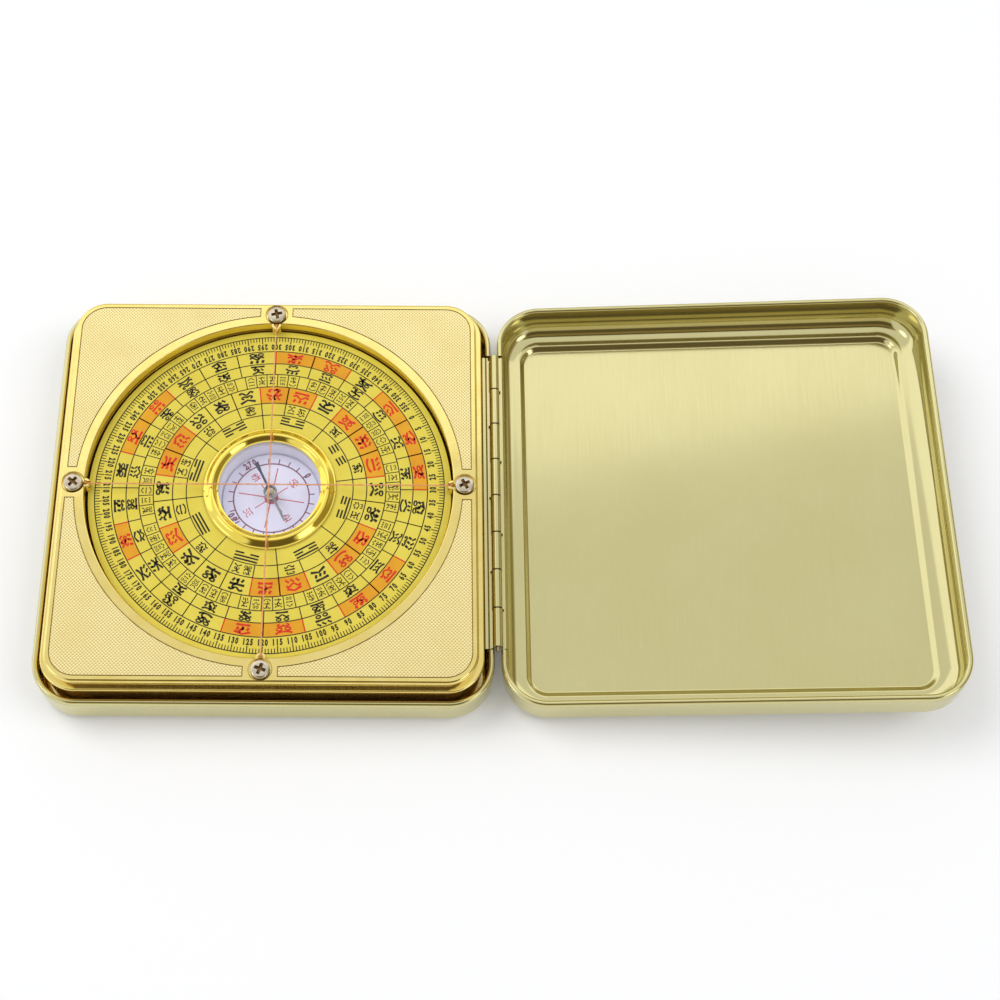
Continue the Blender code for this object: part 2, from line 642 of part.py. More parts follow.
def thread_mesh(name, height):
    """A sighting thread along X that turns down into an eyelet at both ends."""
    reach = EYELET_CIRCLE_RADIUS
    radius = THREAD_BEND_RADIUS
    half = [(reach, height - THREAD_TAIL)]
    for step in range(FILLET_STEPS + 1):
        angle = math.pi / 2 * step / FILLET_STEPS
        half.append((reach - radius * (1 - math.cos(angle)), height - radius * (1 - math.sin(angle))))
    route = half + [(-x, z) for x, z in reversed(half)]
    loops = []
    for index, (x, z) in enumerate(route):
        before = route[max(index - 1, 0)]
        after = route[min(index + 1, len(route) - 1)]
        along = math.atan2(after[1] - before[1], after[0] - before[0])
        loop = []
        for step in range(THREAD_SIDES):
            angle = 2 * math.pi * (step + 1 / 2) / THREAD_SIDES
            out = THREAD_DIAMETER / 2 * math.cos(angle)
            across = THREAD_DIAMETER / 2 * math.sin(angle)
            loop.append((x - out * math.sin(along), across, z + out * math.cos(along)))
        loops.append(loop)
    return lofted(name, loops)


def disc_mesh():
    """The turning disc, with the seat that the capsule's flange lies in."""
    edge = DISC_EDGE_CHAMFER
    profile = [
        (BORE_RADIUS, DISC_BOTTOM_Z), (DISC_RADIUS, DISC_BOTTOM_Z), (DISC_RADIUS, DISC_TOP_Z - edge),
        (DISC_RADIUS - edge, DISC_TOP_Z), (DISC_SEAT_RADIUS, DISC_TOP_Z),
        (DISC_SEAT_RADIUS, DISC_SEAT_Z), (BORE_RADIUS, DISC_SEAT_Z),
    ]
    return turned("dial_disc", profile, RING_STEPS)


def label_mesh():
    """The printed sheet on the disc."""
    inner = DISC_SEAT_RADIUS + LABEL_MARGIN
    outer = DISC_RADIUS - LABEL_MARGIN
    profile = [(inner, LABEL_BOTTOM_Z), (outer, LABEL_BOTTOM_Z), (outer, LABEL_TOP_Z), (inner, LABEL_TOP_Z)]
    return turned("dial_label", profile, RING_STEPS)


def bezel_mesh():
    """The gold ring: a round outer flank, a fine groove, a round crest and a steep flank to the window."""
    edge_z = BEZEL_BOTTOM_Z + BEZEL_EDGE
    shoulder_z = BEZEL_BOTTOM_Z + BEZEL_SHOULDER
    lip_z = LENS_TOP_Z + SEAT_GAP
    lens_room = LENS_SEAT_RADIUS + SEAT_GAP
    shoulder = BEZEL_GROOVE_RADIUS + BEZEL_GROOVE_DEPTH
    crest_outer = BEZEL_GROOVE_RADIUS - BEZEL_GROOVE_DEPTH
    crest_inner = WINDOW_RADIUS + BEZEL_INNER_FLANK
    crest_middle = (crest_outer + crest_inner) / 2
    crest_half = (crest_outer - crest_inner) / 2
    crest_rise = BEZEL_HEIGHT - BEZEL_SHOULDER
    profile = [(lens_room, BEZEL_BOTTOM_Z), (BEZEL_RADIUS, BEZEL_BOTTOM_Z)]
    for step in range(FILLET_STEPS + 1):
        angle = math.pi / 2 * step / FILLET_STEPS
        profile.append((shoulder + (BEZEL_RADIUS - shoulder) * math.cos(angle),
                        edge_z + (shoulder_z - edge_z) * math.sin(angle)))
    profile.append((BEZEL_GROOVE_RADIUS, shoulder_z - BEZEL_GROOVE_DEPTH))
    for step in range(CORNER_STEPS + 1):
        angle = math.pi * step / CORNER_STEPS
        profile.append((crest_middle + crest_half * math.cos(angle),
                        shoulder_z + crest_rise * math.sin(angle)))
    profile.append((WINDOW_RADIUS, lip_z))
    profile.append((lens_room, lip_z))
    return turned("compass_bezel", profile, WELL_STEPS)


def capsule_mesh():
    """The well with its flange, the rebate for the lens and the spigot that takes the hub screw."""
    screw_room = HUB_SHANK_RADIUS + SEAT_GAP
    screw_top = RETAINER_BOTTOM_Z + HUB_SHANK_LENGTH
    profile = [
        (0, screw_top), (screw_room, screw_top), (screw_room, RETAINER_BOTTOM_Z),
        (SPIGOT_RADIUS, RETAINER_BOTTOM_Z), (SPIGOT_RADIUS, CAPSULE_BOTTOM_Z),
        (CAPSULE_RADIUS, CAPSULE_BOTTOM_Z), (CAPSULE_RADIUS, DISC_SEAT_Z + SEAT_GAP),
        (FLANGE_RADIUS, DISC_SEAT_Z + SEAT_GAP), (FLANGE_RADIUS, CAPSULE_TOP_Z),
        (LENS_SEAT_RADIUS, CAPSULE_TOP_Z), (LENS_SEAT_RADIUS, LENS_SEAT_Z),
        (WELL_RADIUS, LENS_SEAT_Z), (WELL_RADIUS, CAPSULE_FLOOR_Z), (0, CAPSULE_FLOOR_Z),
    ]
    return turned("compass_capsule", profile, WELL_STEPS)


def card_mesh():
    """The printed card at the bottom of the well."""
    profile = [(CARD_HOLE_RADIUS, CARD_BOTTOM_Z), (CARD_RADIUS, CARD_BOTTOM_Z),
               (CARD_RADIUS, CARD_TOP_Z), (CARD_HOLE_RADIUS, CARD_TOP_Z)]
    return turned("compass_card", profile, WELL_STEPS)


def retainer_mesh():
    """The washer under the collar, round the capsule's spigot."""
    inner = SPIGOT_RADIUS + SEAT_GAP
    profile = [(inner, RETAINER_BOTTOM_Z), (RETAINER_RADIUS, RETAINER_BOTTOM_Z),
               (RETAINER_RADIUS, RETAINER_TOP_Z), (inner, RETAINER_TOP_Z)]
    return turned("dial_retainer", profile, WELL_STEPS)


def hub_screw_mesh():
    """The screw that holds the retainer on the spigot, head down."""
    tip = HUB_HEAD_TOP_Z + HUB_SHANK_LENGTH
    head_bottom = HUB_HEAD_TOP_Z - HUB_HEAD_HEIGHT
    profile = [(0, head_bottom), (HUB_HEAD_RADIUS, head_bottom), (HUB_HEAD_RADIUS, HUB_HEAD_TOP_Z),
               (HUB_SHANK_RADIUS, HUB_HEAD_TOP_Z), (HUB_SHANK_RADIUS, tip), (0, tip)]
    return turned("hub_screw", profile, PEG_STEPS)


def pivot_mesh():
    """The needle's pin: a foot on the well's floor and a point in the cap's bore."""
    foot_top = CARD_BOTTOM_Z + PIVOT_FOOT_HEIGHT
    profile = [(0, CARD_BOTTOM_Z), (PIVOT_FOOT_RADIUS, CARD_BOTTOM_Z), (PIVOT_FOOT_RADIUS, foot_top),
               (PIVOT_RADIUS, foot_top), (PIVOT_RADIUS, PIVOT_TIP_Z - PIVOT_POINT_LENGTH),
               (PIVOT_TIP_RADIUS, PIVOT_TIP_Z), (0, PIVOT_TIP_Z)]
    return turned("needle_pivot", profile, PEG_STEPS)


def cap_mesh():
    """The needle's cup: a shoulder that the blade lies on and a blind bore for the pivot's point."""
    profile = [
        (0, CAP_BORE_TOP_Z), (CAP_BORE_RADIUS, CAP_BORE_TOP_Z - CAP_CROWN),
        (CAP_BORE_RADIUS, CAP_BOTTOM_Z), (CAP_RADIUS, CAP_BOTTOM_Z),
        (CAP_RADIUS, CAP_SHOULDER_Z), (CAP_BOSS_RADIUS, CAP_SHOULDER_Z),
        (CAP_BOSS_RADIUS, CAP_TOP_Z - CAP_CROWN), (CAP_BOSS_RADIUS - CAP_CROWN, CAP_TOP_Z), (0, CAP_TOP_Z),
    ]
    return turned("needle_cap", profile, PEG_STEPS)


def needle_mesh():
    """The blade along X: an eye round the cap, a plain tail and a tip that widens."""
    end = NEEDLE_LENGTH / 2
    half = NEEDLE_WIDTH / 2
    tip_half = NEEDLE_TIP_WIDTH / 2
    outline = [
        (-end, -half / 2), (-end + half, -half), (end - NEEDLE_TIP_LENGTH, -half),
        (end - tip_half, -tip_half), (end, -half / 2), (end, half / 2), (end - tip_half, tip_half),
        (end - NEEDLE_TIP_LENGTH, half), (-end + half, half), (-end, half / 2),
    ]
    top = NEEDLE_Z + NEEDLE_THICKNESS
    hole_radius = CAP_BOSS_RADIUS + SEAT_GAP
    blade = lofted("needle", [[(x, y, z) for x, y in outline] for z in (NEEDLE_Z, top)])
    edge = NEEDLE_THICKNESS / 10
    eye = peg("eye", hole_radius + NEEDLE_EYE_WALL, NEEDLE_Z - edge, top + edge)
    blade = combine(blade, "UNION", (eye, (0, 0, 0), 0))
    hole = peg("hole", hole_radius, NEEDLE_Z - OVERRUN, top + OVERRUN)
    return combine(blade, "DIFFERENCE", (hole, (0, 0, 0), 0))


def tape_mesh(name):
    """A strip of mounting tape between the tray's panel and the insert's back."""
    low = (-TAPE_WIDTH / 2, -TAPE_LENGTH / 2, SHEET + SEAT_GAP)
    high = (TAPE_WIDTH / 2, TAPE_LENGTH / 2, INSERT_BOTTOM_Z - SEAT_GAP)
    return block(name, low, high)


def build_case():
    """The two halves and their hinge."""
    base = empty("base_axis", (AXIS_X, 0, AXIS_Z))
    lid = empty("lid_axis", (AXIS_X, 0, AXIS_Z), (0, -LID_LIFT, 0))
    place("base_tray", tray_mesh("base_tray", -1), base, "champagne_tin")
    place("lid_tray", tray_mesh("lid_tray", 1), lid, "champagne_tin")
    place("base_hinge_leaf", leaf_mesh("base_hinge_leaf", -1, 1), base, "champagne_tin")
    place("lid_hinge_leaf", leaf_mesh("lid_hinge_leaf", 1, 0), lid, "champagne_tin")
    place("hinge_pin", pin_mesh(), base, "steel")


def build_insert(centre):
    """The insert with its cover, its tape, the thread screws and the threads."""
    place("insert_frame", insert_mesh(), centre, "gold_plating")
    back = rounded_block("insert_back", HOLLOW_LENGTH - 2 * SEAT_GAP, HOLLOW_WIDTH - 2 * SEAT_GAP,
                         HOLLOW_CORNER_RADIUS - SEAT_GAP, INSERT_BOTTOM_Z, INSERT_BOTTOM_Z + BACK_THICKNESS)
    place("insert_back", back, centre, "black_plastic")
    for side, direction in (("left", -1), ("right", 1)):
        name = "mounting_tape_" + side
        place(name, tape_mesh(name), centre, "foam_tape", (direction * TAPE_OFFSET, 0, 0))
    screw = screw_mesh()
    for side in SCREW_SIDES:
        (x, y, _), _ = on_side(side, SCREW_CIRCLE_RADIUS)
        place("thread_screw_" + side, screw, centre, "nickel", (x, y, SCREW_HEAD_Z), SCREW_TURNS[side])
    across = thread_mesh("crosshair_thread_across", THREAD_LOW_Z)
    along = thread_mesh("crosshair_thread_along", THREAD_HIGH_Z)
    place("crosshair_thread_across", across, centre, "red_thread")
    place("crosshair_thread_along", along, centre, "red_thread", turn=math.pi / 2)


def build_dial(centre):
    """Everything that turns with the disc."""
    place("dial_disc", disc_mesh(), centre, "disc_metal")
    place("dial_label", label_mesh(), centre, "yellow_print")
    place("compass_bezel", bezel_mesh(), centre, "gold_plating")
    place("compass_capsule", capsule_mesh(), centre, "white_plastic")
    place("compass_card", card_mesh(), centre, "white_card")
    lens = peg("compass_lens", LENS_RADIUS, LENS_BOTTOM_Z, LENS_TOP_Z, WELL_STEPS)
    place("compass_lens", lens, centre, "clear_plastic")
    place("needle_pivot", pivot_mesh(), centre, "steel")
    place("dial_retainer", retainer_mesh(), centre, "steel")
    place("hub_screw", hub_screw_mesh(), centre, "nickel")


def build_needle(centre):
    """The needle with its cap, turned as it points."""
    place("needle", needle_mesh(), centre, "blued_steel")
    place("needle_cap", cap_mesh(), centre, "brass")


build_case()
build_insert(empty("insert_centre", (DIAL_X, 0, 0)))
dial_axis = empty("dial_axis", (DIAL_X, 0, 0))
build_dial(dial_axis)
build_needle(empty("needle_axis", (0, 0, 0), (0, 0, NEEDLE_TURN), dial_axis))
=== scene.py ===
import math
import random

import bmesh
import bpy
from mathutils import Matrix, Vector


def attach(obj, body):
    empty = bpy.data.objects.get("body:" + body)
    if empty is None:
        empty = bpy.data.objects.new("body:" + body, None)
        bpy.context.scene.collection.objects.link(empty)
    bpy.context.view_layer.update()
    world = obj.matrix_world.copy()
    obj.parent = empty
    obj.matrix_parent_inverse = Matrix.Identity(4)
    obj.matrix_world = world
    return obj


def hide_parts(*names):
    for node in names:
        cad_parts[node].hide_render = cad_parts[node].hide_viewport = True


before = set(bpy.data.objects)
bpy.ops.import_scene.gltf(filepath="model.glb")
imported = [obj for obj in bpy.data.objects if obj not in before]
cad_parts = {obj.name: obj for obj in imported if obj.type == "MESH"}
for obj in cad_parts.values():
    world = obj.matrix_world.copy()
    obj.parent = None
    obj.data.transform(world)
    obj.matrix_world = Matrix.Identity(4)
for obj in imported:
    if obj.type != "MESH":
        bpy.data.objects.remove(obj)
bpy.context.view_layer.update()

MM = 0.001

# All sizes are in millimetres. SEAT is the room between seated pieces, PAST how far a cutter runs past
# what it cuts, WELD the distance in metres under which two corners are one
SEAT, PAST, WELD = 0.3, 1.0, 0.000002

# Case halves, the open end of the rolled rim at the notch, and the wider inner fillet of the lid
TRAY_LENGTH, TRAY_WIDTH, TRAY_HEIGHT, TRAY_CORNER = 85.0, 84.0, 8.5, 8.5
SHEET, OUTER_FILLET, INNER_FILLET, LID_FILLET = 0.5, 1.8, 1.6, 3.3
BEAD, CREASE_DEPTH, CREASE_HEIGHT = 0.58, 0.15, 0.3
PANEL_RISE, PANEL_MARGIN, PANEL_STEP = 0.8, 4.3, 1.3
RIM_HOLLOW, RIM_HOLLOW_OUT, RIM_HOLLOW_IN = 0.36, 0.1, 1.4

# Hinge
REVEAL, RIM_GAP = 0.6, 0.3
LIFT = math.radians(4.16)
PITCH, KNUCKLE_GAP, KNUCKLE, KNUCKLES = 7.69, 0.3, 0.95, 8
HINGE_HALF = KNUCKLES * PITCH / 2
LEAF, LEAF_BEND, LEAF_DEPTH, LEAF_ROOM = 0.4, 0.1, 4.5, 0.25
ROLL_DEGREES = 295
LIP, LIP_JOIN = 0.6, 0.06
PIN, PIN_PROUD, PIN_ROUND = 0.45, 0.75, 0.15

# Insert. BORDER is how far the corner panels lie in from the plate's edge, PANEL_ARC the radius that
# they leave free for the dial, and PAD half the width that they leave free for the screws
INSERT_LENGTH, INSERT_WIDTH, INSERT_HEIGHT, INSERT_CORNER = 80.3, 80.5, 13.1, 6.7
FOOT, LEDGE, LEDGE_EDGE, PLATE_EDGE, PLATE_RISE = 0.4, 0.7, 0.3, 0.6, 2.8
WALL, FLARE, FLARE_FOOT, FLARE_HEAD, WEAVE_PITCH = 1.2, 0.35, 2, 1, 0.66
RECESS, RECESS_DEPTH, RECESS_ROUND, RECESS_LIP = 34.85, 4.5, 0.35, 0.25
BORE, COLLAR = 11.2, 13.2
BORDER, BORDER_WIDTH, BORDER_DEPTH, BORDER_SLOPE = 1.0, 0.36, 0.18, 0.1
PANEL_ARC, PAD = 36.5, 3.0
PANEL_X, PANEL_Y = INSERT_LENGTH / 2 - LEDGE - BORDER, INSERT_WIDTH / 2 - LEDGE - BORDER
PANEL_CORNER = INSERT_CORNER - LEDGE - BORDER

# Thread screws, eyelets and threads, with the cross recess as height, reach and half width of its two
# ends and the pit in its middle
SCREW_R, SCREW_SEAT, SCREW_SINK, SEAT_BEVEL = 37.0, 2.1, 0.6, 0.15
HEAD, HEAD_HEIGHT, HEAD_RIM, CROWN, SHANK, SHANK_LENGTH = 1.8, 0.65, 0.32, 0.85, 0.75, 4.6
BOSS, BOSS_FOOT, SCREW_HOLE, SCREW_HOLE_FOOT = 1.85, 9.1, 1.05, 9.7
CROSS, CROSS_PIT = ((0.16, 0.6, 0.2), (0.75, 1.2, 0.34)), ((0, 0.05), (0.3, 0.16), (0.55, 0.75), (0, 0.75))
EYELET_R, EYELET, EYELET_HEIGHT, EYELET_SINK, EYELET_ROUND = 34.75, 1.0, 2.0, 0.15, 0.2
EYE, EYE_DEPTH, SLOT = 0.5, 1.4, 0.32
THREAD, THREAD_BEND, THREAD_TAIL, THREAD_TURNS = 0.175, 0.3, 0.9, 2.2

# Dial: disc, label, well, card, window, pivot and needle
DISC, DISC_EDGE, DISC_ROUND, DISC_SEAT, DISC_SEAT_DEPTH = 34.65, 0.15, 0.2, 12.0, 0.6
LABEL, LABEL_HOLE = 34.45, 12.3
CAPSULE, FLANGE, WELL, WELL_ROUND, REBATE, REBATE_DEPTH = 10.9, 11.7, 9.6, 0.3, 10.4, 0.6
SPIGOT, SPIGOT_DEPTH, SPIGOT_HOLE, SPIGOT_HOLE_TOP = 2.2, 1.1, 0.9, 0.1
CARD, CARD_HOLE = 9.28, 1.1
LENS, LENS_EDGE = 10.1, 0.1
PIVOT, PIVOT_FOOT, PIVOT_FOOT_HEIGHT, PIVOT_ROUND, PIVOT_POINT, PIVOT_TIP = 0.3, 0.8, 0.3, 0.15, 0.6, 0.06
NEEDLE, NEEDLE_HALF, TIP_HALF, TIP_LENGTH, NEEDLE_THICK = 6.8, 0.225, 0.4, 2.2, 0.2
NEEDLE_EYE, NEEDLE_HOLE, NEEDLE_WELD = 1.3, 1.0, 0.02
CAP, CAP_DEPTH, CAP_EDGE, CAP_BREAK, CAP_NECK, CAP_HOLE = 1.2, 0.7, 0.1, 0.08, 0.7, 0.5
CAP_ROOF, CAP_CONE, CAP_ROUND = 0.4, 0.2, 0.22
NEEDLE_TURN = math.radians(115.8)

# The bezel's section from foot to window: radius and height over its underside
BEZEL_ROOM = 10.7
BEZEL = ((12.6, 0), (12.6, 0.09), (12.55, 0.14), (12.42, 0.15), (12.3, 0.2), (12.15, 0.3), (11.65, 0.72),
         (11.5, 0.84), (11.32, 0.94), (11.12, 0.99), (11.0, 1.0), (10.86, 0.98), (10.7, 0.91), (10.56, 0.81),
         (10.16, 0.46), (10.04, 0.38), (9.9, 0.33), (9.74, 0.3))

# Heights above the surface that the case rests on, and the places of the bodies
AXIS_Z = PANEL_RISE + TRAY_HEIGHT + RIM_GAP / 2
REACH = ((REVEAL + TRAY_LENGTH - OUTER_FILLET) * math.cos(LIFT)
         + (TRAY_HEIGHT + RIM_GAP / 2 - OUTER_FILLET) * math.sin(LIFT) + OUTER_FILLET)
AXIS_X = (REVEAL + TRAY_LENGTH - REACH) / 2
DIAL_X = AXIS_X - REVEAL - TRAY_LENGTH / 2
INSERT_BOTTOM = PANEL_RISE + SHEET + SEAT
INSERT_TOP = INSERT_BOTTOM + INSERT_HEIGHT
LEDGE_Z = INSERT_TOP - PLATE_RISE
RECESS_FLOOR = INSERT_TOP - RECESS_DEPTH
DISC_BOTTOM = RECESS_FLOOR + SEAT
DISC_TOP = DISC_BOTTOM + 1.3
LABEL_BOTTOM = DISC_TOP + SEAT
LABEL_TOP = LABEL_BOTTOM + 0.1
BEZEL_BOTTOM = LABEL_TOP + SEAT
CAPSULE_TOP = BEZEL_BOTTOM - SEAT
CAPSULE_BOTTOM = CAPSULE_TOP - 5.0
WELL_FLOOR = CAPSULE_BOTTOM + 0.45
CARD_BOTTOM = WELL_FLOOR + SEAT
CARD_TOP = CARD_BOTTOM + 0.2
LENS_BOTTOM = CAPSULE_TOP - REBATE_DEPTH + SEAT
LENS_TOP = LENS_BOTTOM + 0.6
SCREW_HEAD_Z = INSERT_TOP - SCREW_SINK + SEAT
THREAD_LOW = INSERT_TOP - 0.5
THREAD_HIGH = THREAD_LOW + 0.5
CAP_TOP = LENS_BOTTOM - 0.4
CAP_SHOULDER = CAP_TOP - 0.85
NEEDLE_Z = CAP_SHOULDER + SEAT

BASE_PLACE = Matrix.Translation((AXIS_X * MM, 0, AXIS_Z * MM))
LID_PLACE = BASE_PLACE @ Matrix.Rotation(-LIFT, 4, "Y")
DIAL_PLACE = Matrix.Translation((DIAL_X * MM, 0, 0))
NEEDLE_PLACE = DIAL_PLACE @ Matrix.Rotation(NEEDLE_TURN, 4, "Z")

# Quarter turns of the four sides of the dial, and how far each side's screw is turned, in degrees
SIDES = {"right": 0, "far": 1, "left": 2, "near": 3}
SCREW_TURNS = {"right": 28, "far": 12, "left": 52, "near": 70}

# The print: its line width, the outer radii of the degree scale, of the rings of cells and of the
# trigrams, where the scale starts and the card's star points, in degrees, and which cells are orange
# or hold one ornament or two. A trigram's lines run from the inside out, 1 for an unbroken line
LINE, MARK_ROWS, DIAL_ZERO, CARD_TURN = 0.19, 3, 30, 36.0
SCALE, RING_A, RING_B, RING_C, RING_D, RING_E, SIGNS = CIRCLES = (33.2, 30.0, 27.25, 24.85, 22.1, 18.45, 15.85)
ORANGE_A = (7.5, 22.5, 67.5, 82.5, 112.5, 127.5, 187.5, 232.5, 247.5, 307.5, 322.5, 352.5)
ORANGE_D = (90, 75, 45, 30, 15, -30, -45, -75, -90, -150, 165, 150)
SINGLE_E = (105, 45, 15, -45, -75, -135, -165, 135)
PAIR_E = (75, -15, -105, 165)
# Radius, width, height and brush of the ornaments in each ring, with one or two in a cell of ring E
MARK_A, MARK_B, MARK_C = (28.62, 3.1, 2.3, 0.42), (26.05, 2.7, 2.05, 0.37), (23.48, 1.3, 2.1, 0.18)
MARK_D, MARK_SINGLE, MARK_PAIR = (20.3, 3.1, 2.6, 0.47), (17.2, 2.1, 1.95, 0.3), (17.2, 1.5, 1.95, 0.23)
MARK_CARD = (5.3, 1.7, 1.7, 0.2)
# Radius, height, width and advance of the numbers, and radii and reaches of the trigrams' lines
FIGURES, CARD_FIGURES = (31.68, 1.3, 0.64, 0.7), (7.6, 1.5, 0.7, 0.95)
SIGN_ROWS, SIGN_HALF, SIGN_REACH, SIGN_GAP = (13.95, 14.6, 15.25), 0.17, 2.3, 0.6
TRIGRAMS = {0: "000", 45: "001", 90: "101", 135: "011", 180: "111", 225: "110", 270: "010", 315: "100"}

# What polished metal sees of the light tent on each side, as linear colours, and the directions of
# its far half and of its lamps. The gold and brown tints on the far, right and front sides are
# painted reflections of the gold case
TENT_NEAR = (0.86, 0.86, 0.86)
TENT_FAR = (1.28, 1.28, 1.30)
TENT_FAR_LOW = (0.56, 0.50, 0.28)
TENT_RIGHT = (0.28, 0.22, 0.08)
TENT_RIGHT_LOW = (0.50, 0.44, 0.25)
TENT_FRONT_FOOT = (0.62, 0.56, 0.36)
TENT_FRONT_HIGH = (0.28, 0.205, 0.075)
TENT_FRONT_LOW = (0.09, 0.065, 0.02)
TENT_CAMERA = (0.035, 0.02, 0.003)
TENT_LAMP = (2.2, 2.2, 2.2)
TENT_FAR_SIDE = (-0.1222, 0.8875, -0.4443)
TENT_LAMP_LEFT, TENT_LAMP_RIGHT = (-0.75, -0.2, 0.64), (0.60, -0.47, 0.64)

# The camera's place in metres, and its elevation and roll in degrees
VIEWPOINT, ELEVATION, ROLL = (-0.015027, -0.138104, 0.304008), 64.8117, 0.3783


def linear(srgb):
    """Linear values of a colour given as 0 to 255."""
    return [share / 12.92 if share <= 0.04045 else ((share + 0.055) / 1.055) ** 2.4
            for share in (value / 255 for value in srgb)]


class Nodes:
    """A node tree and a short way to add and join its nodes."""

    def __init__(self, tree):
        self.tree = tree

    def feed(self, socket, value):
        """Another node's output or a plain value on this socket. A colour may come without its alpha."""
        if isinstance(value, bpy.types.NodeSocket):
            self.tree.links.new(value, socket)
        else:
            socket.default_value = (*value, 1.0) if socket.type == "RGBA" and len(value) == 3 else value

    def add(self, kind, inputs=None, **settings):
        node = self.tree.nodes.new("ShaderNode" + kind)
        for key, value in settings.items():
            setattr(node, key, value)
        for key, value in (inputs or {}).items():
            self.feed(node.inputs[key], value)
        return node

    def math(self, operation, *values, **settings):
        return self.add("Math", dict(enumerate(values)), operation=operation, **settings).outputs[0]

    def vector(self, operation, *values):
        return self.add("VectorMath", dict(enumerate(values)), operation=operation)

    def remap(self, value, low, high, to_low=0.0, to_high=1.0, **settings):
        node = self.add("MapRange", {"Value": value, "From Min": low, "From Max": high,
                                     "To Min": to_low, "To Max": to_high}, **settings)
        return node.outputs["Result"]

    def mix(self, factor, first, second):
        node = self.add("Mix", data_type="RGBA")
        sockets = {socket.name: socket for socket in node.inputs if socket.enabled}
        for name, value in (("Factor", factor), ("A", first), ("B", second)):
            self.feed(sockets[name], value)
        return [socket for socket in node.outputs if socket.enabled][0]

    def seen(self):
        """1 for a ray that comes straight from the camera, from a mirror or through a window, else 0."""
        path = self.add("LightPath")
        total = path.outputs["Is Camera Ray"]
        for other in ("Is Glossy Ray", "Is Transmission Ray"):
            total = self.math("ADD", total, path.outputs[other], use_clamp=True)
        return total


class Finish(Nodes):
    """A material with its shader and object coordinates."""

    def __init__(self, name):
        self.material = bpy.data.materials.new(name)
        self.material.use_nodes = True
        super().__init__(self.material.node_tree)
        self.shader = self.tree.nodes["Principled BSDF"]
        self.coords = self.add("TexCoord").outputs["Object"]

    def scaled(self, *scale):
        """Object coordinates times a scale per axis, in features per millimetre."""
        scale = [value / MM for value in scale]
        return self.add("Mapping", {"Vector": self.coords, "Scale": scale}).outputs["Vector"]

    def noise(self, scale, detail, roughness, distortion=0.0):
        """Noise from 0 to 1 with this many features per millimetre, one number or one per axis."""
        scale = scale if isinstance(scale, tuple) else (scale,) * 3
        node = self.add("TexNoise", {"Vector": self.scaled(*scale), "Scale": 1.0, "Detail": detail,
                                     "Roughness": roughness, "Distortion": distortion})
        return node.outputs["Fac"]

    def put(self, **values):
        """Values on the shader's own sockets, by name with underscores for spaces."""
        for key, value in values.items():
            self.feed(self.shader.inputs[key.replace("_", " ")], value)

    def bump(self, height, distance, strength, **more):
        node = self.add("Bump", {"Height": height, "Distance": distance * MM, "Strength": strength, **more})
        self.put(Normal=node.outputs["Normal"])
        return node.outputs["Normal"]


def champagne():
    """Lacquered tinplate in pale gold, brushed along Y, a little cloudy, with fine scratches."""
    n = Finish("champagne_tin")
    cloud = n.noise(0.05, 4, 0.6)
    fine = n.noise((5.0, 0.10, 0.5), 5, 0.65)
    coarse = n.noise((1.3, 0.03, 0.15), 3, 0.5)
    scratch = n.noise((0.9, 0.05, 0.9), 2, 0.4, 1.5)
    tone = n.mix(n.remap(cloud, 0.3, 0.7), linear((214, 207, 153)), linear((210, 202, 146)))
    tone = n.mix(n.remap(fine, 0.45, 0.75, 0.0, 0.18), tone, linear((196, 187, 130)))
    thin = n.remap(n.math("ABSOLUTE", n.math("SUBTRACT", scratch, 0.5)), 0.0, 0.004, 1.0, 0.0)
    n.put(Base_Color=n.mix(n.math("MULTIPLY", thin, 0.22), tone, linear((238, 230, 190))))
    n.put(Metallic=0.94, Roughness=n.remap(fine, 0.2, 0.8, 0.08, 0.15))
    first = n.bump(fine, 0.005, 0.25)
    n.bump(coarse, 0.02, 0.15, Normal=first)
    return n.material


def knurl():
    """Gold plating over a fine moulded weave, its rows along the diagonals, its hollows painted darker as
    painted shade.
    """
    n = Finish("gold_knurl")
    split = n.add("SeparateXYZ", {"Vector": n.coords})
    waves = [n.math("SINE", n.math("MULTIPLY", split.outputs[axis], 2 * math.pi / (WEAVE_PITCH * MM)))
             for axis in "XY"]
    dots = n.remap(n.math("MULTIPLY", *waves), -1.0, 1.0)
    cloud = n.noise(0.12, 4, 0.6)
    body = n.mix(n.remap(cloud, 0.35, 0.7), linear((246, 230, 168)), linear((242, 224, 156)))
    # The weave's hollows are painted a darker gold: painted shade
    n.put(Base_Color=n.mix(n.remap(dots, 0.18, 0.55), linear((212, 190, 124)), body))
    n.put(Metallic=0.94, Roughness=n.remap(cloud, 0.3, 0.7, 0.2, 0.28))
    n.bump(dots, 0.05, 0.8)
    return n.material


def surface(name, tone, dark, rough, clouds, span, grain, relief, speck=0, **values):
    """A tone with darker clouds, and grain in its roughness and relief. Paper has worn specks too.

    Clouds and grain are noises, and the grain makes the clouds where clouds is None. The span is what
    the clouds are remapped from, and the relief is a height in millimetres and a strength.
    """
    n = Finish(name)
    fine = n.noise(*grain)
    cloud = n.noise(*clouds) if clouds else fine
    tone, dark = linear(tone), linear(dark)
    base = n.mix(n.remap(cloud, *span), tone, dark)
    if speck:
        base = n.mix(n.remap(fine, 0.5, 0.8, 0.0, speck), base, [value * 0.86 for value in dark])
    n.put(Base_Color=base, Roughness=n.remap(fine, 0.3, 0.7, *rough), **values)
    n.bump(fine, *relief)
    return n.material


def gold(name, tone, dark, *rough):
    """Bright gold plating with faint orange peel."""
    return surface(name, tone, dark, rough, (0.25, 4, 0.6), (0.35, 0.7), (2.0, 3, 0.5), (0.008, 0.2),
                   Metallic=0.95)


def metal(name, tone, dark, low, high, grain, height):
    """Plain metal with grain, clouding and worn tone."""
    return surface(name, tone, dark, (low, high), (0.5, 4, 0.6), (0.35, 0.7), (grain, 4, 0.6), (height, 0.4),
                   Metallic=1.0)


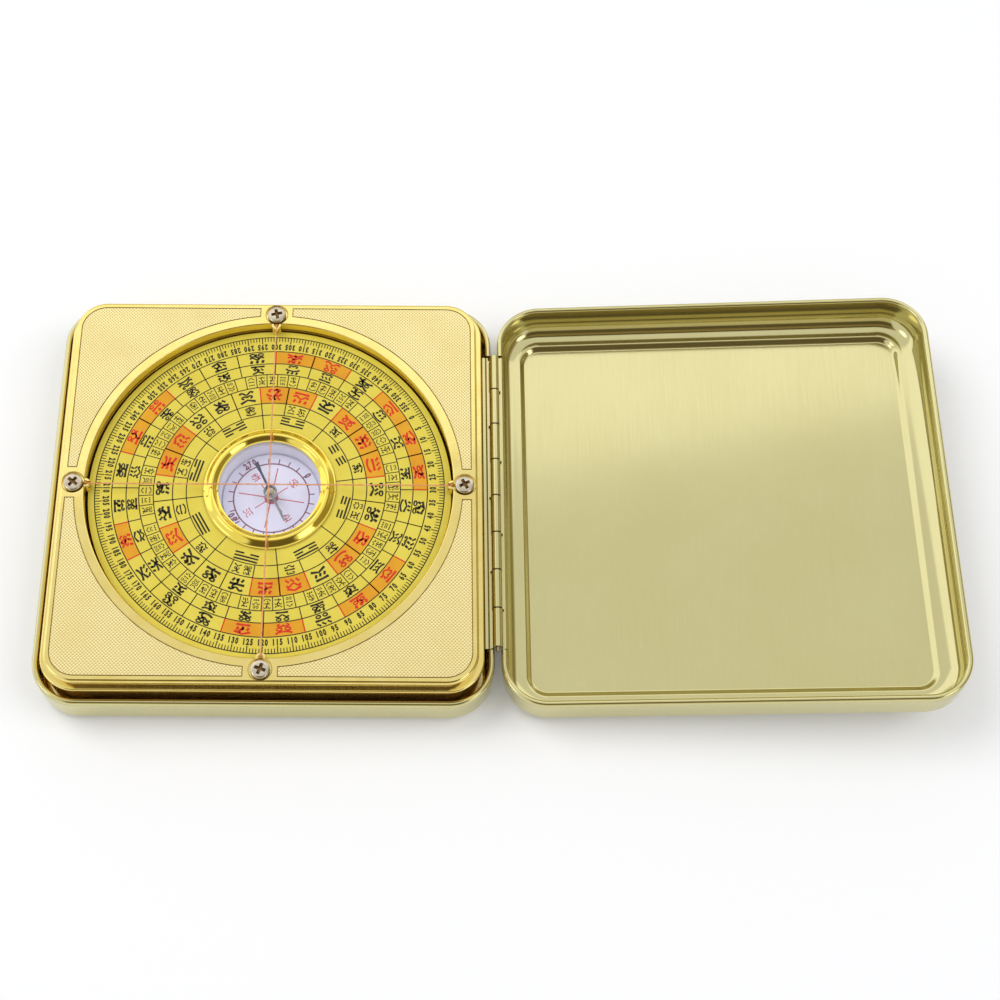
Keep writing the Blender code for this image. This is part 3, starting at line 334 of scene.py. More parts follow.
def paper(name, tone, dark, low=0.35, high=0.5, speck=0.1):
    """Printed sheet: even ink with faint clouding, a little gloss and paper tooth."""
    return surface(name, tone, dark, (low, high), (0.15, 5, 0.6), (0.35, 0.65), (9.0, 3, 0.6), (0.006, 0.3),
                   speck, Specular_IOR_Level=0.35)


def plastic(name, tone, dark, *rough):
    """Moulded plastic with a fine texture."""
    return surface(name, tone, dark, rough, (0.2, 3, 0.5), (0.35, 0.65), (5.0, 4, 0.6), (0.01, 0.3))


def foam_finish():
    """White foam with fine cells."""
    n = Finish("foam_tape")
    cell = n.add("TexVoronoi", {"Vector": n.scaled(3.0, 3.0, 3.0), "Scale": 1.0}).outputs["Distance"]
    n.put(Base_Color=n.mix(n.remap(cell, 0.1, 0.6), linear((214, 214, 208)), linear((238, 238, 234))))
    n.put(Roughness=n.remap(cell, 0.1, 0.6, 0.85, 0.95))
    n.bump(cell, 0.06, 0.5)
    return n.material


TIN = champagne()
WEAVE = knurl()
POLISH = gold("gold_polish", (244, 224, 142), (238, 214, 124), 0.06, 0.12)
# The skirt's darker, warmer gold is painted shade for the gap between the insert and the tray
SKIRT_SHADE = gold("gold_skirt_shade", (236, 200, 112), (228, 186, 92), 0.10, 0.18)
RING = gold("gold_ring", (252, 230, 112), (248, 222, 92), 0.04, 0.09)
# The groove's darker, duller gold is painted shade in the groove
GROOVE_SHADE = gold("gold_groove_shade", (178, 152, 84), (156, 130, 64), 0.35, 0.5)
# The darker, browner metal in the screws' cross recess is painted shade
PIT_SHADE = metal("screw_pit_shade", (146, 116, 74), (112, 84, 48), 0.4, 0.6, 3.0, 0.01)
NICKEL = metal("nickel", (216, 206, 184), (190, 176, 148), 0.18, 0.32, 3.0, 0.01)
STEEL = metal("steel", (176, 172, 162), (140, 134, 122), 0.28, 0.42, 3.0, 0.01)
BLUED = metal("blued_steel", (52, 58, 78), (34, 38, 54), 0.26, 0.4, 4.0, 0.006)
TAIL = metal("needle_steel", (150, 152, 160), (112, 112, 120), 0.25, 0.4, 4.0, 0.006)
BRASS = metal("brass", (222, 216, 190), (170, 160, 124), 0.12, 0.26, 4.0, 0.008)
PLATE = metal("disc_metal", (232, 208, 96), (214, 186, 70), 0.16, 0.28, 2.5, 0.01)
YELLOW = paper("yellow_print", (224, 207, 78), (218, 198, 66), 0.38, 0.52, 0.25)
ORANGE = paper("orange_print", (226, 164, 22), (216, 146, 10), 0.38, 0.52, 0.25)
BLACK = paper("black_print", (30, 28, 14), (44, 40, 20))
RED = paper("red_print", (218, 52, 16), (204, 40, 10))
VIOLET = paper("violet_print", (132, 52, 84), (120, 44, 78), 0.4, 0.55)
PINK = paper("pink_print", (206, 76, 98), (190, 66, 90), 0.4, 0.55)
WHITE_CARD = paper("white_card", (232, 231, 248), (226, 224, 244), 0.45, 0.6)
WHITE = plastic("white_plastic", (240, 239, 250), (234, 232, 246), 0.3, 0.42)
DARK = plastic("black_plastic", (34, 34, 34), (44, 44, 44), 0.45, 0.6)
FOAM = foam_finish()
# Half clear orange-red fishing line, and a clear window with faint haze and fine wiping marks
CORD = surface("red_thread", (244, 184, 132), (232, 148, 92), (0.2, 0.34), None, (0.35, 0.65),
               (1.5, 3, 0.6), (0.01, 0.4), Alpha=0.58, Specular_IOR_Level=0.6)
WINDOW = surface("clear_window", (246, 247, 255), (232, 234, 248), (0.03, 0.08), None, (0.4, 0.8),
                 ((0.5, 4.0, 1.0), 3, 0.5), (0.002, 0.1), Alpha=0.05, Specular_IOR_Level=0.5, IOR=1.49)


def plain(name, bm):
    """This bmesh as a mesh."""
    mesh = bpy.data.meshes.new(name)
    bm.to_mesh(mesh)
    bm.free()
    return mesh


def mesh_from(name, bm):
    """This bmesh as a mesh, its faces turned outward."""
    bmesh.ops.recalc_face_normals(bm, faces=bm.faces)
    return plain(name, bm)


def linked(name, data):
    """A new object of this data, in the scene."""
    made = bpy.data.objects.new(name, data)
    bpy.context.scene.collection.objects.link(made)
    return made


def evaluated(made):
    """The object as its modifiers or its type make it."""
    bpy.context.view_layer.update()
    return made.evaluated_get(bpy.context.evaluated_depsgraph_get())


def arc(x, y, radius, start, end, steps):
    """Points of a round about (x, y), from one angle to another in degrees."""
    angles = [math.radians(start + (end - start) * step / steps) for step in range(steps + 1)]
    return [(x + radius * math.cos(angle), y + radius * math.sin(angle)) for angle in angles]


def rounded(length, width, radius, steps):
    """Outline of a rectangle with round corners."""
    points = []
    for corner, (side_x, side_y) in enumerate(((1, 1), (-1, 1), (-1, -1), (1, -1))):
        points += arc(side_x * (length / 2 - radius), side_y * (width / 2 - radius), radius,
                      90 * corner, 90 * (corner + 1), steps)
    return points


def oblong(left, right, half):
    """Outline of a rectangle from left to right and this far to both sides."""
    return [(left, -half), (right, -half), (right, half), (left, half)]


def level(outline, z):
    """A flat outline at this height."""
    return [(x, y, z) for x, y in outline]


def lofted(name, loops, closed=False):
    """A solid through loops of as many points each: capped at both ends, or joined end to end."""
    bm = bmesh.new()
    rows = [[bm.verts.new([value * MM for value in point]) for point in loop] for loop in loops]
    pairs = list(zip(rows, rows[1:]))
    if closed:
        pairs.append((rows[-1], rows[0]))
    for lower, upper in pairs:
        for index in range(len(lower)):
            after = (index + 1) % len(lower)
            bm.faces.new((lower[index], lower[after], upper[after], upper[index]))
    if not closed:
        bm.faces.new(rows[0])
        bm.faces.new(rows[-1])
    return mesh_from(name, bm)


def prism(name, outline, low, high):
    """A solid of this outline between two heights."""
    return lofted(name, [level(outline, low), level(outline, high)])


def turned(name, profile, steps):
    """A solid turned about Z from (radius, height) points, or a ring if the first is off the axis."""
    bm = bmesh.new()
    angles = [2 * math.pi * step / steps for step in range(steps)]
    rows = []
    for radius, height in profile:
        if radius == 0:
            rows.append([bm.verts.new((0, 0, height * MM))] * steps)
        else:
            reach = radius * MM
            rows.append([bm.verts.new((reach * math.cos(angle), reach * math.sin(angle), height * MM))
                         for angle in angles])
    pairs = list(zip(rows, rows[1:]))
    if profile[0][0] > 0:
        pairs.append((rows[-1], rows[0]))
    for lower, upper in pairs:
        for step in range(steps):
            after = (step + 1) % steps
            corners = list(dict.fromkeys((lower[step], lower[after], upper[after], upper[step])))
            if len(corners) > 2:
                bm.faces.new(corners)
    return mesh_from(name, bm)


def peg(name, radius, bottom, top, steps):
    """A round bar along Z."""
    return turned(name, [(0, bottom), (radius, bottom), (radius, top), (0, top)], steps)


def boolean(mesh, operation, tools):
    """The mesh after each tool, a mesh or a pair of mesh and matrix, was cut from it or joined to it."""
    for tool in tools:
        tool, matrix = tool if isinstance(tool, tuple) else (tool, Matrix.Identity(4))
        target, cutter = linked("target", mesh), linked("cutter", tool)
        cutter.matrix_world = matrix
        modifier = target.modifiers.new("cut", "BOOLEAN")
        modifier.operation, modifier.solver, modifier.object = operation, "EXACT", cutter
        result = bmesh.new()
        result.from_mesh(evaluated(target).data)
        bmesh.ops.remove_doubles(result, verts=result.verts, dist=WELD)
        for used in (target, cutter):
            bpy.data.objects.remove(used, do_unlink=True)
        mesh = mesh_from(mesh.name, result)
    return mesh


def piece(name, mesh, body, materials, place, replaces=None, angle=30, weighted=False):
    """An object of this mesh on its body, with its materials and what it stands for."""
    mesh = mesh.copy()
    mesh.transform(place)
    mesh.name = name
    for material in materials:
        mesh.materials.append(material)
    if angle is None:
        mesh.shade_flat()
    else:
        mesh.shade_smooth()
        mesh.set_sharp_from_angle(angle=math.radians(angle))
    made = linked(name, mesh)
    if weighted:
        made.modifiers.new("even_shading", "WEIGHTED_NORMAL").keep_sharp = True
    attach(made, body)
    if replaces:
        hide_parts(replaces)


def spun(name, profile, steps, material, replaces, body="dial", place=DIAL_PLACE):
    """A piece turned about its own Z."""
    piece(name, turned(name, profile, steps), body, [material], place, replaces)


def beside(side, radius, z=0):
    """The place this far out from the dial's centre on one of its four sides."""
    turn = Matrix.Rotation(SIDES[side] * math.pi / 2, 4, "Z")
    return turn @ Matrix.Translation((radius * MM, 0, z * MM))


def tray_section(fillet):
    """The stamping's section as (inset from the outer wall, height over the hinge axis)."""
    steps = 9
    bottom = -(TRAY_HEIGHT + RIM_GAP / 2)
    inside = bottom + SHEET
    swage = [(PANEL_MARGIN + PANEL_STEP * (1 - step / steps),
              bottom - PANEL_RISE * (1 + math.cos(math.pi * step / steps)) / 2) for step in range(steps + 1)]
    crease = math.degrees(math.acos(1 - CREASE_DEPTH / BEAD))
    wall = math.degrees(math.acos(SHEET / BEAD - 1))
    bead = arc(BEAD, -RIM_GAP / 2 - BEAD, BEAD, 180 + crease, -wall, 16)
    return (swage + arc(OUTER_FILLET, bottom + OUTER_FILLET, OUTER_FILLET, 270, 180, steps)
            + [(0, bead[0][1] - CREASE_HEIGHT)] + bead
            + arc(SHEET + fillet, inside + fillet, fillet, 180, 270, steps)
            + [(inset, height + SHEET) for inset, height in reversed(swage)])


def tray_mesh(name, side):
    """One case half about the hinge axis, notched for the hinge, its rolled rim open at the notch."""
    middle = side * (REVEAL + TRAY_LENGTH / 2)
    loops = []
    for inset, height in tray_section(LID_FILLET if side > 0 else INNER_FILLET):
        outline = rounded(TRAY_LENGTH - 2 * inset, TRAY_WIDTH - 2 * inset, TRAY_CORNER - inset, 24)
        loops.append([(x + middle, y, height) for x, y in outline])
    end = side * (REVEAL + 2 * BEAD + PAST)
    half = HINGE_HALF + SEAT
    notch = prism("notch", oblong(min(0, end), max(0, end), half), -KNUCKLE - SEAT, PAST)
    tools = [notch]
    for way in (-1, 1):
        roll = peg("roll", RIM_HOLLOW, -RIM_HOLLOW_OUT, RIM_HOLLOW_IN, 20)
        roll.transform(Matrix.Rotation(-way * math.pi / 2, 4, "X"))
        spot = (side * (REVEAL + BEAD) * MM, way * half * MM, (-RIM_GAP / 2 - BEAD) * MM)
        tools.append((roll, Matrix.Translation(spot)))
    return boolean(lofted(name, loops), "DIFFERENCE", tools)


def leaf_section(side):
    """The leaf's two faces from foot to end of roll, and how many pairs lie before the knuckle."""
    face = REVEAL + SHEET + SEAT
    foot = -KNUCKLE - LEAF_DEPTH
    bend = (face - LEAF_BEND, -KNUCKLE - LEAF_BEND)
    end = KNUCKLE + LEAF_ROOM
    pairs = [((face, foot), (face + LEAF, foot))]
    pairs += zip(arc(*bend, LEAF_BEND, 0, 90, 6), arc(*bend, LEAF_BEND + LEAF, 0, 90, 6))
    pairs.append(((end, -KNUCKLE), (end, LEAF - KNUCKLE)))
    common = len(pairs)
    pairs += zip(*[arc(0, 0, radius, -90, -90 - ROLL_DEGREES, 32) for radius in (KNUCKLE, KNUCKLE - LEAF)])
    return [[(side * x, z) for x, z in pair] for pair in pairs], common


def leaf_mesh(name, side):
    """A hinge leaf of one sheet, rolled round the pin at every other knuckle."""
    pairs, common = leaf_section(side)
    stations = [-HINGE_HALF, HINGE_HALF]
    for knuckle in range(1 if side < 0 else 0, KNUCKLES, 2):
        middle = HINGE_HALF - (knuckle + 0.5) * PITCH
        stations += [middle + end * (PITCH - KNUCKLE_GAP) / 2 for end in (-1, 1)]
    stations.sort()
    bm = bmesh.new()
    corners = {}

    def filled(row, column):
        inside = 0 <= row < len(pairs) - 1 and 0 <= column < len(stations) - 1
        return inside and (row < common - 1 or column % 2 == 1)

    def corner(row, column, face):
        key = (row, column, face)
        if key not in corners:
            x, z = pairs[row][face]
            corners[key] = bm.verts.new((x * MM, stations[column] * MM, z * MM))
        return corners[key]

    def quad(*keys):
        bm.faces.new([corner(*key) for key in keys])

    for row in range(len(pairs) - 1):
        for column in range(len(stations) - 1):
            if not filled(row, column):
                continue
            ring = [(row, column), (row + 1, column), (row + 1, column + 1), (row, column + 1)]
            beyond = [(row, column - 1), (row + 1, column), (row, column + 1), (row - 1, column)]
            for face in (0, 1):
                quad(*[(*spot, face) for spot in ring])
            for one, two, neighbour in zip(ring, ring[1:] + ring[:1], beyond):
                if not filled(*neighbour):
                    quad((*one, 0), (*two, 0), (*two, 1), (*one, 1))
    return mesh_from(name, bm)


def build_case():
    """Case halves, hinge leaves, the base leaf's lip and the hinge pin."""
    for shape, ending, node in ((tray_mesh, "_pressing", "_tray"), (leaf_mesh, "_rolled_leaf", "_hinge_leaf")):
        for body, side, place in (("base", -1, BASE_PLACE), ("lid", 1, LID_PLACE)):
            name = body + ending
            piece(name, shape(name, side), body, [TIN], place, body + node, weighted=True)
    face = -(REVEAL + SHEET + SEAT + LEAF)
    section = [(face + LIP_JOIN, LEAF - KNUCKLE), (face + LIP_JOIN, -KNUCKLE)]
    section += arc(face - LIP + LEAF / 2, LEAF / 2 - KNUCKLE, LEAF / 2, -90, -270, 8)
    lip = lofted("base_leaf_lip", [[(x, y, z) for x, z in section] for y in (-HINGE_HALF, HINGE_HALF)])
    piece("base_leaf_lip", lip, "base", [TIN], BASE_PLACE, "base_hinge_leaf", weighted=True)
    near = -HINGE_HALF - PIN_PROUD
    wire = [(0, near)] + arc(PIN - PIN_ROUND, near + PIN_ROUND, PIN_ROUND, -90, 0, 5)
    wire += arc(PIN - PIN_ROUND, HINGE_HALF - PIN_ROUND, PIN_ROUND, 0, 90, 5) + [(0, HINGE_HALF)]
    along = BASE_PLACE @ Matrix.Rotation(-math.pi / 2, 4, "X")
    spun("hinge_wire", wire, 32, STEEL, "hinge_pin", "base", along)


def panel_outline(more, z):
    """The outline of the panel in the +x +y corner, drawn in by this much more."""
    right, top, radius = PANEL_X - more, PANEL_Y - more, PANEL_CORNER - more
    low, circle = PAD + more, PANEL_ARC + more
    start = math.degrees(math.asin(low / circle))
    outline = [(low, top)] + arc(right - radius, top - radius, radius, 90, 0, 16) + [(right, low)]
    return level(outline + arc(0, 0, circle, start, 90 - start, 40), z)


def panel_inset(x, y):
    """How far a point of the plate lies inside a corner panel's outline, negative outside."""
    x, y = abs(x), abs(y)
    inset = min(x - PAD, y - PAD, PANEL_X - x, PANEL_Y - y, math.hypot(x, y) - PANEL_ARC)
    over_x, over_y = x - (PANEL_X - PANEL_CORNER), y - (PANEL_Y - PANEL_CORNER)
    if over_x > 0 and over_y > 0:
        inset = min(inset, PANEL_CORNER - math.hypot(over_x, over_y))
    return inset


def insert_shell():
    """The insert's outside, from its foot over the ledge to the plate."""
    rows = [(FOOT, 0, INSERT_BOTTOM), (0, 0, INSERT_BOTTOM + FOOT),
            (0, 0, LEDGE_Z - FLARE_FOOT), (0, FLARE, LEDGE_Z - FLARE_HEAD)]
    rows += [(inset, FLARE, z)
             for inset, z in arc(LEDGE_EDGE, LEDGE_Z - LEDGE_EDGE, LEDGE_EDGE, 180, 90, 8)]
    rows.append((LEDGE, 0, LEDGE_Z))
    rows += [(inset, 0, z)
             for inset, z in arc(LEDGE + PLATE_EDGE, INSERT_TOP - PLATE_EDGE, PLATE_EDGE, 180, 90, 8)]
    loops = []
    for inset, flare, z in rows:
        length, width = INSERT_LENGTH - 2 * inset + 2 * flare, INSERT_WIDTH - 2 * inset
        loops.append(level(rounded(length, width, INSERT_CORNER - inset, 20), z))
    return lofted("insert_plating", loops)


def insert_hollow():
    """The room under the plate, around the recess's wall, the collar and the screw bosses."""
    margin, under = LEDGE + WALL, INSERT_TOP - WALL + PAST
    outline = rounded(INSERT_LENGTH - 2 * margin, INSERT_WIDTH - 2 * margin, INSERT_CORNER - margin, 12)
    stays = [peg("wall", RECESS + WALL, RECESS_FLOOR - WALL, under, 96),
             peg("collar", COLLAR, CAPSULE_BOTTOM, under, 64)]
    stays += [(peg("boss", BOSS, BOSS_FOOT, under, 24), beside(side, SCREW_R)) for side in SIDES]
    return boolean(prism("hollow", outline, INSERT_BOTTOM - PAST, INSERT_TOP - WALL), "DIFFERENCE", stays)


def insert_mesh():
    """The moulded insert with its ledge, plate, corner panels, recess, screw seats and eyelets."""
    above = INSERT_TOP + PAST
    recess = [(0, RECESS_FLOOR), (RECESS - RECESS_ROUND, RECESS_FLOOR)]
    recess += arc(RECESS - RECESS_ROUND, RECESS_FLOOR + RECESS_ROUND, RECESS_ROUND, -80, 0, 4)
    recess += [(RECESS, INSERT_TOP - RECESS_LIP)]
    recess += arc(RECESS + RECESS_LIP, INSERT_TOP - RECESS_LIP, RECESS_LIP, 160, 100, 3)
    recess += [(RECESS + RECESS_LIP, above), (0, above)]
    made = boolean(insert_shell(), "DIFFERENCE", [
        insert_hollow(), turned("recess", recess, 192), peg("bore", BORE, CAPSULE_BOTTOM - PAST, above, 96)])

    top = INSERT_TOP - EYELET_SINK
    eyelet = [(0, top - EYELET_HEIGHT), (EYELET, top - EYELET_HEIGHT)]
    eyelet += arc(EYELET - EYELET_ROUND, top - EYELET_ROUND, EYELET_ROUND, 0, 90, 4) + [(0, top)]
    made = boolean(made, "UNION", [(turned("eyelet", eyelet, 32), beside(side, EYELET_R)) for side in SIDES])

    floor, wide = INSERT_TOP - SCREW_SINK, SCREW_SEAT + SEAT_BEVEL
    seat = turned("seat", [(0, floor), (SCREW_SEAT, floor), (SCREW_SEAT, INSERT_TOP - SEAT_BEVEL),
                           (wide, INSERT_TOP), (wide, above), (0, above)], 48)
    cuts = []
    for side, quarter in SIDES.items():
        height = THREAD_HIGH if quarter % 2 else THREAD_LOW
        slot = prism("slot", oblong(-EYELET - PAST, 0, SLOT), height - SLOT, above)
        cuts += [(seat, beside(side, SCREW_R)),
                 (peg("hole", SCREW_HOLE, SCREW_HOLE_FOOT, above, 24), beside(side, SCREW_R)),
                 (peg("eye", EYE, height - EYE_DEPTH, above, 20), beside(side, EYELET_R)),
                 (slot, beside(side, EYELET_R))]
    low = INSERT_TOP - BORDER_DEPTH
    border = [panel_outline(BORDER_SLOPE, low), panel_outline(0, above),
              panel_outline(BORDER_WIDTH, above), panel_outline(BORDER_WIDTH - BORDER_SLOPE, low)]
    for mirror_x in (1, -1):
        for mirror_y in (1, -1):
            loops = [[(x * mirror_x, y * mirror_y, z) for x, y, z in loop] for loop in border]
            cuts.append(lofted("border", loops, closed=True))
    made = boolean(made, "DIFFERENCE", cuts)
    finish_insert(made)
    return made


def finish_insert(mesh):
    """Weave on the corner panels, a duller and darker gold in the groove around each, and a darker, warmer gold
    on the skirt under the ledge, both of them painted shade.
    """
    for face in mesh.polygons:
        corners = [mesh.vertices[index].co / MM for index in face.vertices]
        insets = [panel_inset(corner.x, corner.y) for corner in corners]
        low, high = min(corner.z for corner in corners), max(corner.z for corner in corners)
        groove = INSERT_TOP - BORDER_DEPTH - 0.01 < low < INSERT_TOP - 0.05
        out = max(abs(corners[0].x) / INSERT_LENGTH, abs(corners[0].y) / INSERT_WIDTH)
        if low > INSERT_TOP - 0.001 and min(insets) > BORDER_WIDTH - 0.13:
            face.material_index = 1
        # Faces in the groove get the darker gold of painted shade
        elif groove and min(insets) > -0.03 and max(insets) < BORDER_WIDTH + 0.03:
            face.material_index = 3
        # Outer faces under the ledge get the darker, warmer gold of painted shade
        elif high < LEDGE_Z - LEDGE_EDGE - 0.01 and abs(face.normal.z) < 0.5 and out > 0.45:
            face.material_index = 2


def screw_mesh():
    """A pan-head screw with a cross recess, its head's underside on the origin."""
    profile = [(0, -SHANK_LENGTH), (SHANK, -SHANK_LENGTH), (SHANK, 0),
               (HEAD - 0.08, 0), (HEAD, 0.06), (HEAD, HEAD_RIM)]
    profile += [(HEAD - CROWN + CROWN * x, HEAD_RIM + (HEAD_HEIGHT - HEAD_RIM) * z)
                for x, z in arc(0, 0, 1, 15, 90, 5)]
    screw = turned("thread_screw", profile + [(0, HEAD_HEIGHT)], 64)
    wing = lofted("wing", [level(oblong(-reach, reach, half), z) for z, reach, half in CROSS])
    pit = turned("pit", CROSS_PIT, 20)
    crosswise = Matrix.Rotation(math.pi / 2, 4, "Z")
    screw = boolean(screw, "DIFFERENCE", [wing, (wing, crosswise), pit])
    for face in screw.polygons:
        x, y, z = face.center / MM
        # Faces in the cross recess get the darker metal of painted shade
        if math.hypot(x, y) < 1.25 and 0.04 < z < 0.6:
            face.material_index = 1
    return screw


def thread_mesh(name, height):
    """A two-ply twisted line along X that turns down into an eyelet at both ends."""
    reach, count = EYELET_R - THREAD_BEND, 220
    half = [(EYELET_R, height - THREAD_TAIL), (EYELET_R, height - 2 * THREAD_BEND)]
    half += arc(reach, height - THREAD_BEND, THREAD_BEND, 0, 90, 6)
    straight = [(reach - 2 * reach * step / count, height) for step in range(1, count)]
    route = half + straight + [(-x, z) for x, z in reversed(half)]
    loops, travelled = [], 0
    for index, (x, z) in enumerate(route):
        before, after = route[max(index - 1, 0)], route[min(index + 1, len(route) - 1)]
        travelled += math.dist((x, z), before)
        along = math.atan2(after[1] - before[1], after[0] - before[0])
        loop = []
        for step in range(12):
            angle = 2 * math.pi * step / 12
            lobe = THREAD * (0.86 + 0.14 * math.cos(2 * (angle - travelled * THREAD_TURNS)))
            out, across = lobe * math.cos(angle), lobe * math.sin(angle)
            loop.append((x - out * math.sin(along), across, z + out * math.cos(along)))
        loops.append(loop)
    return lofted(name, loops)


def build_insert():
    """The gold insert, its four screws and the two crossed threads."""
    piece("insert_plating", insert_mesh(), "base", [POLISH, WEAVE, SKIRT_SHADE, GROOVE_SHADE], DIAL_PLACE,
          "insert_frame", angle=24, weighted=True)
    screw = screw_mesh()
    for side, turn in SCREW_TURNS.items():
        spot = (DIAL_PLACE @ beside(side, SCREW_R, SCREW_HEAD_Z)).translation
        place = Matrix.Translation(spot) @ Matrix.Rotation(math.radians(turn), 4, "Z")
        piece("cross_screw_" + side, screw, "base", [NICKEL, PIT_SHADE], place, "thread_screw_" + side,
              weighted=True)
    for way, height, turn in (("across", THREAD_LOW, 0), ("along", THREAD_HIGH, math.pi / 2)):
        name = "sighting_line_" + way
        piece(name, thread_mesh(name, height), "base", [CORD], DIAL_PLACE @ Matrix.Rotation(turn, 4, "Z"),
              "crosshair_thread_" + way, angle=60)


def polar(radius, angle):
    """The point at this radius and this angle in degrees."""
    angle = math.radians(angle)
    return radius * math.cos(angle), radius * math.sin(angle)


def axes(angle):
    """Directions outward and across at an angle in degrees."""
    out = Vector(polar(1, angle))
    return out, Vector((-out.y, out.x))


def apart(one, other):
    """Degrees between two directions, at most 180."""
    return abs((one - other + 180) % 360 - 180)


def digit_meshes():
    """Points and faces of each digit, from Blender's own type, one unit high and centred."""
    found = {}
    for digit in "0123456789":
        curve = bpy.data.curves.new("digit", "FONT")
        curve.body, curve.size, curve.resolution_u, curve.offset = digit, 1.0, 3, 0.055
        holder = linked("digit", curve)
        mesh = bpy.data.meshes.new_from_object(evaluated(holder))
        xs = [vertex.co.x for vertex in mesh.vertices]
        ys = [vertex.co.y for vertex in mesh.vertices]
        middle, low, tall = (min(xs) + max(xs)) / 2, min(ys), max(ys) - min(ys)
        points = [((x - middle) / tall, (y - low) / tall) for x, y in zip(xs, ys)]
        found[digit] = (points, [tuple(face.vertices) for face in mesh.polygons])
        bpy.data.objects.remove(holder, do_unlink=True)
    return found


def motifs():
    """Eight invented motifs. Each has brush strokes: how bold, and points across and up from -1 to 1."""
    turns = [math.pi * step / 5 for step in range(11)]
    bowl = [math.pi * (1 + step / 8) for step in range(9)]
    return (
        [(1.0, [(-1, -0.1), (0, 0.06), (1, -0.02)])],
        [(0.85, [(step / 5 - 1, 0.75 * math.sin(turn * 1.5)) for step, turn in enumerate(turns)])],
        [(0.95, [(-1, -0.7), (-0.45, 0.1), (0, 0.8), (0.45, 0.1), (1, -0.7)])],
        [(0.95, [(math.cos(turn), 0.5 + 1.3 * math.sin(turn)) for turn in bowl])],
        [(0.7, [(middle + 0.36 * math.cos(turn), 0.85 * math.sin(turn)) for turn in turns])
         for middle in (-0.55, 0.55)],
        [(1.35, [(x - 0.16, -0.3), (x + 0.16, 0.3)]) for x in (-0.72, 0.0, 0.72)],
        [(0.75, [(side * (0.5 - (0.5 - 0.04 * step) * math.cos(turn)), 0.9 * (1 - 0.06 * step) * math.sin(turn))
                 for step, turn in enumerate(turns[:9])]) for side in (-1, 1)],
        [(0.9, [(x - 0.2, -0.8), (x, 0.05), (x + 0.2, 0.8)]) for x in (-0.7, -0.05, 0.65)])


DIGITS = digit_meshes()
MOTIFS = motifs()


class Print:
    """Flat ink shapes on a sheet, drawn in millimetres from the dial's centre."""

    def __init__(self, z):
        self.z = z
        self.bm = bmesh.new()

    def point(self, x, y):
        return self.bm.verts.new((x * MM, y * MM, self.z * MM))

    def face(self, verts):
        """A face that looks up."""
        face = self.bm.faces.new(verts)
        face.normal_update()
        if face.normal.z < 0:
            face.normal_flip()

    def polygon(self, points):
        self.face([self.point(x, y) for x, y in points])

    def sector(self, inner, outer, start, end):
        """Part of a ring between two radii and two angles in degrees."""
        steps = max(1, round(abs(end - start) / 1.5))
        for step in range(steps):
            one = start + (end - start) * step / steps
            two = start + (end - start) * (step + 1) / steps
            self.polygon([polar(inner, one), polar(outer, one), polar(outer, two), polar(inner, two)])

    def patch(self, angle, inner, outer, low, high):
        """A rectangle between two radii, from low to high across the direction at an angle."""
        out, across = axes(angle)
        self.polygon([out * inner + across * low, out * outer + across * low,
                      out * outer + across * high, out * inner + across * high])

    def spoke(self, angle, inner, outer, width):
        """A straight line outward at an angle in degrees."""
        self.patch(angle, inner, outer, -width / 2, width / 2)

    def stroke(self, points, widths, radius, angle):
        """A brush stroke through points about a place on the dial, as wide as the widths say."""
        out, across = axes(angle)
        left, right = [], []
        for index, point in enumerate(points):
            before, after = points[max(index - 1, 0)], points[min(index + 1, len(points) - 1)]
            along = Vector((after[0] - before[0], after[1] - before[1])).normalized()
            side = Vector((-along.y, along.x)) * widths[index] / 2
            for edge, spot in ((left, Vector(point) + side), (right, Vector(point) - side)):
                edge.append(out * (radius + spot.y) + across * spot.x)
        for index in range(len(points) - 1):
            self.polygon([left[index], right[index], right[index + 1], left[index + 1]])

    def number(self, text, size, angle, outward=False):
        """A number on the dial, its feet outward, or its head outward. The angle is in degrees."""
        radius, height, squeeze, advance = size
        out = axes(angle)[0]
        up = out * (1 if outward else -1)
        across = Vector((up.y, -up.x))
        for place, digit in enumerate(text):
            start = (place - (len(text) - 1) / 2) * advance
            points, faces = DIGITS[digit]
            spots = [out * radius + across * (start + x * height * squeeze) + up * y * height
                     for x, y in points]
            verts = [self.point(*spot) for spot in spots]
            for face in faces:
                self.face([verts[index] for index in face])

    def mark(self, size, angle, seed):
        """An invented ornament of brushed motifs in rows, centred in a cell and made up from its seed."""
        radius, width, height, weight = size
        dice = random.Random(seed)
        row_height = height / MARK_ROWS
        for row, motif in enumerate(dice.sample(MOTIFS, MARK_ROWS)):
            middle = height / 2 - row_height * (row + 0.5)
            reach = width / 2 * dice.uniform(0.78, 1.0)
            for boldness, points in motif:
                last = len(points) - 1
                widths = [weight * boldness * (0.8 + 0.35 * abs(2 * step / last - 1))
                          for step in range(last + 1)]
                points = [(x * reach, y * row_height / 2 * 0.86) for x, y in points]
                self.stroke(points, widths, radius + middle, angle)
        if dice.random() < 0.6:
            top, foot = dice.uniform(0.3, 0.5) * height, -dice.uniform(0.1, 0.5) * height
            lean = dice.uniform(-0.12, 0.12) * width
            sway = dice.choice((-1, 1)) * 0.13 * width
            route = [(lean + sway * math.sin(math.pi * step / 3), foot + (top - foot) * step / 6)
                     for step in range(7)]
            self.stroke(route, [weight * (0.85 + 0.04 * step) for step in range(7)], radius, angle)


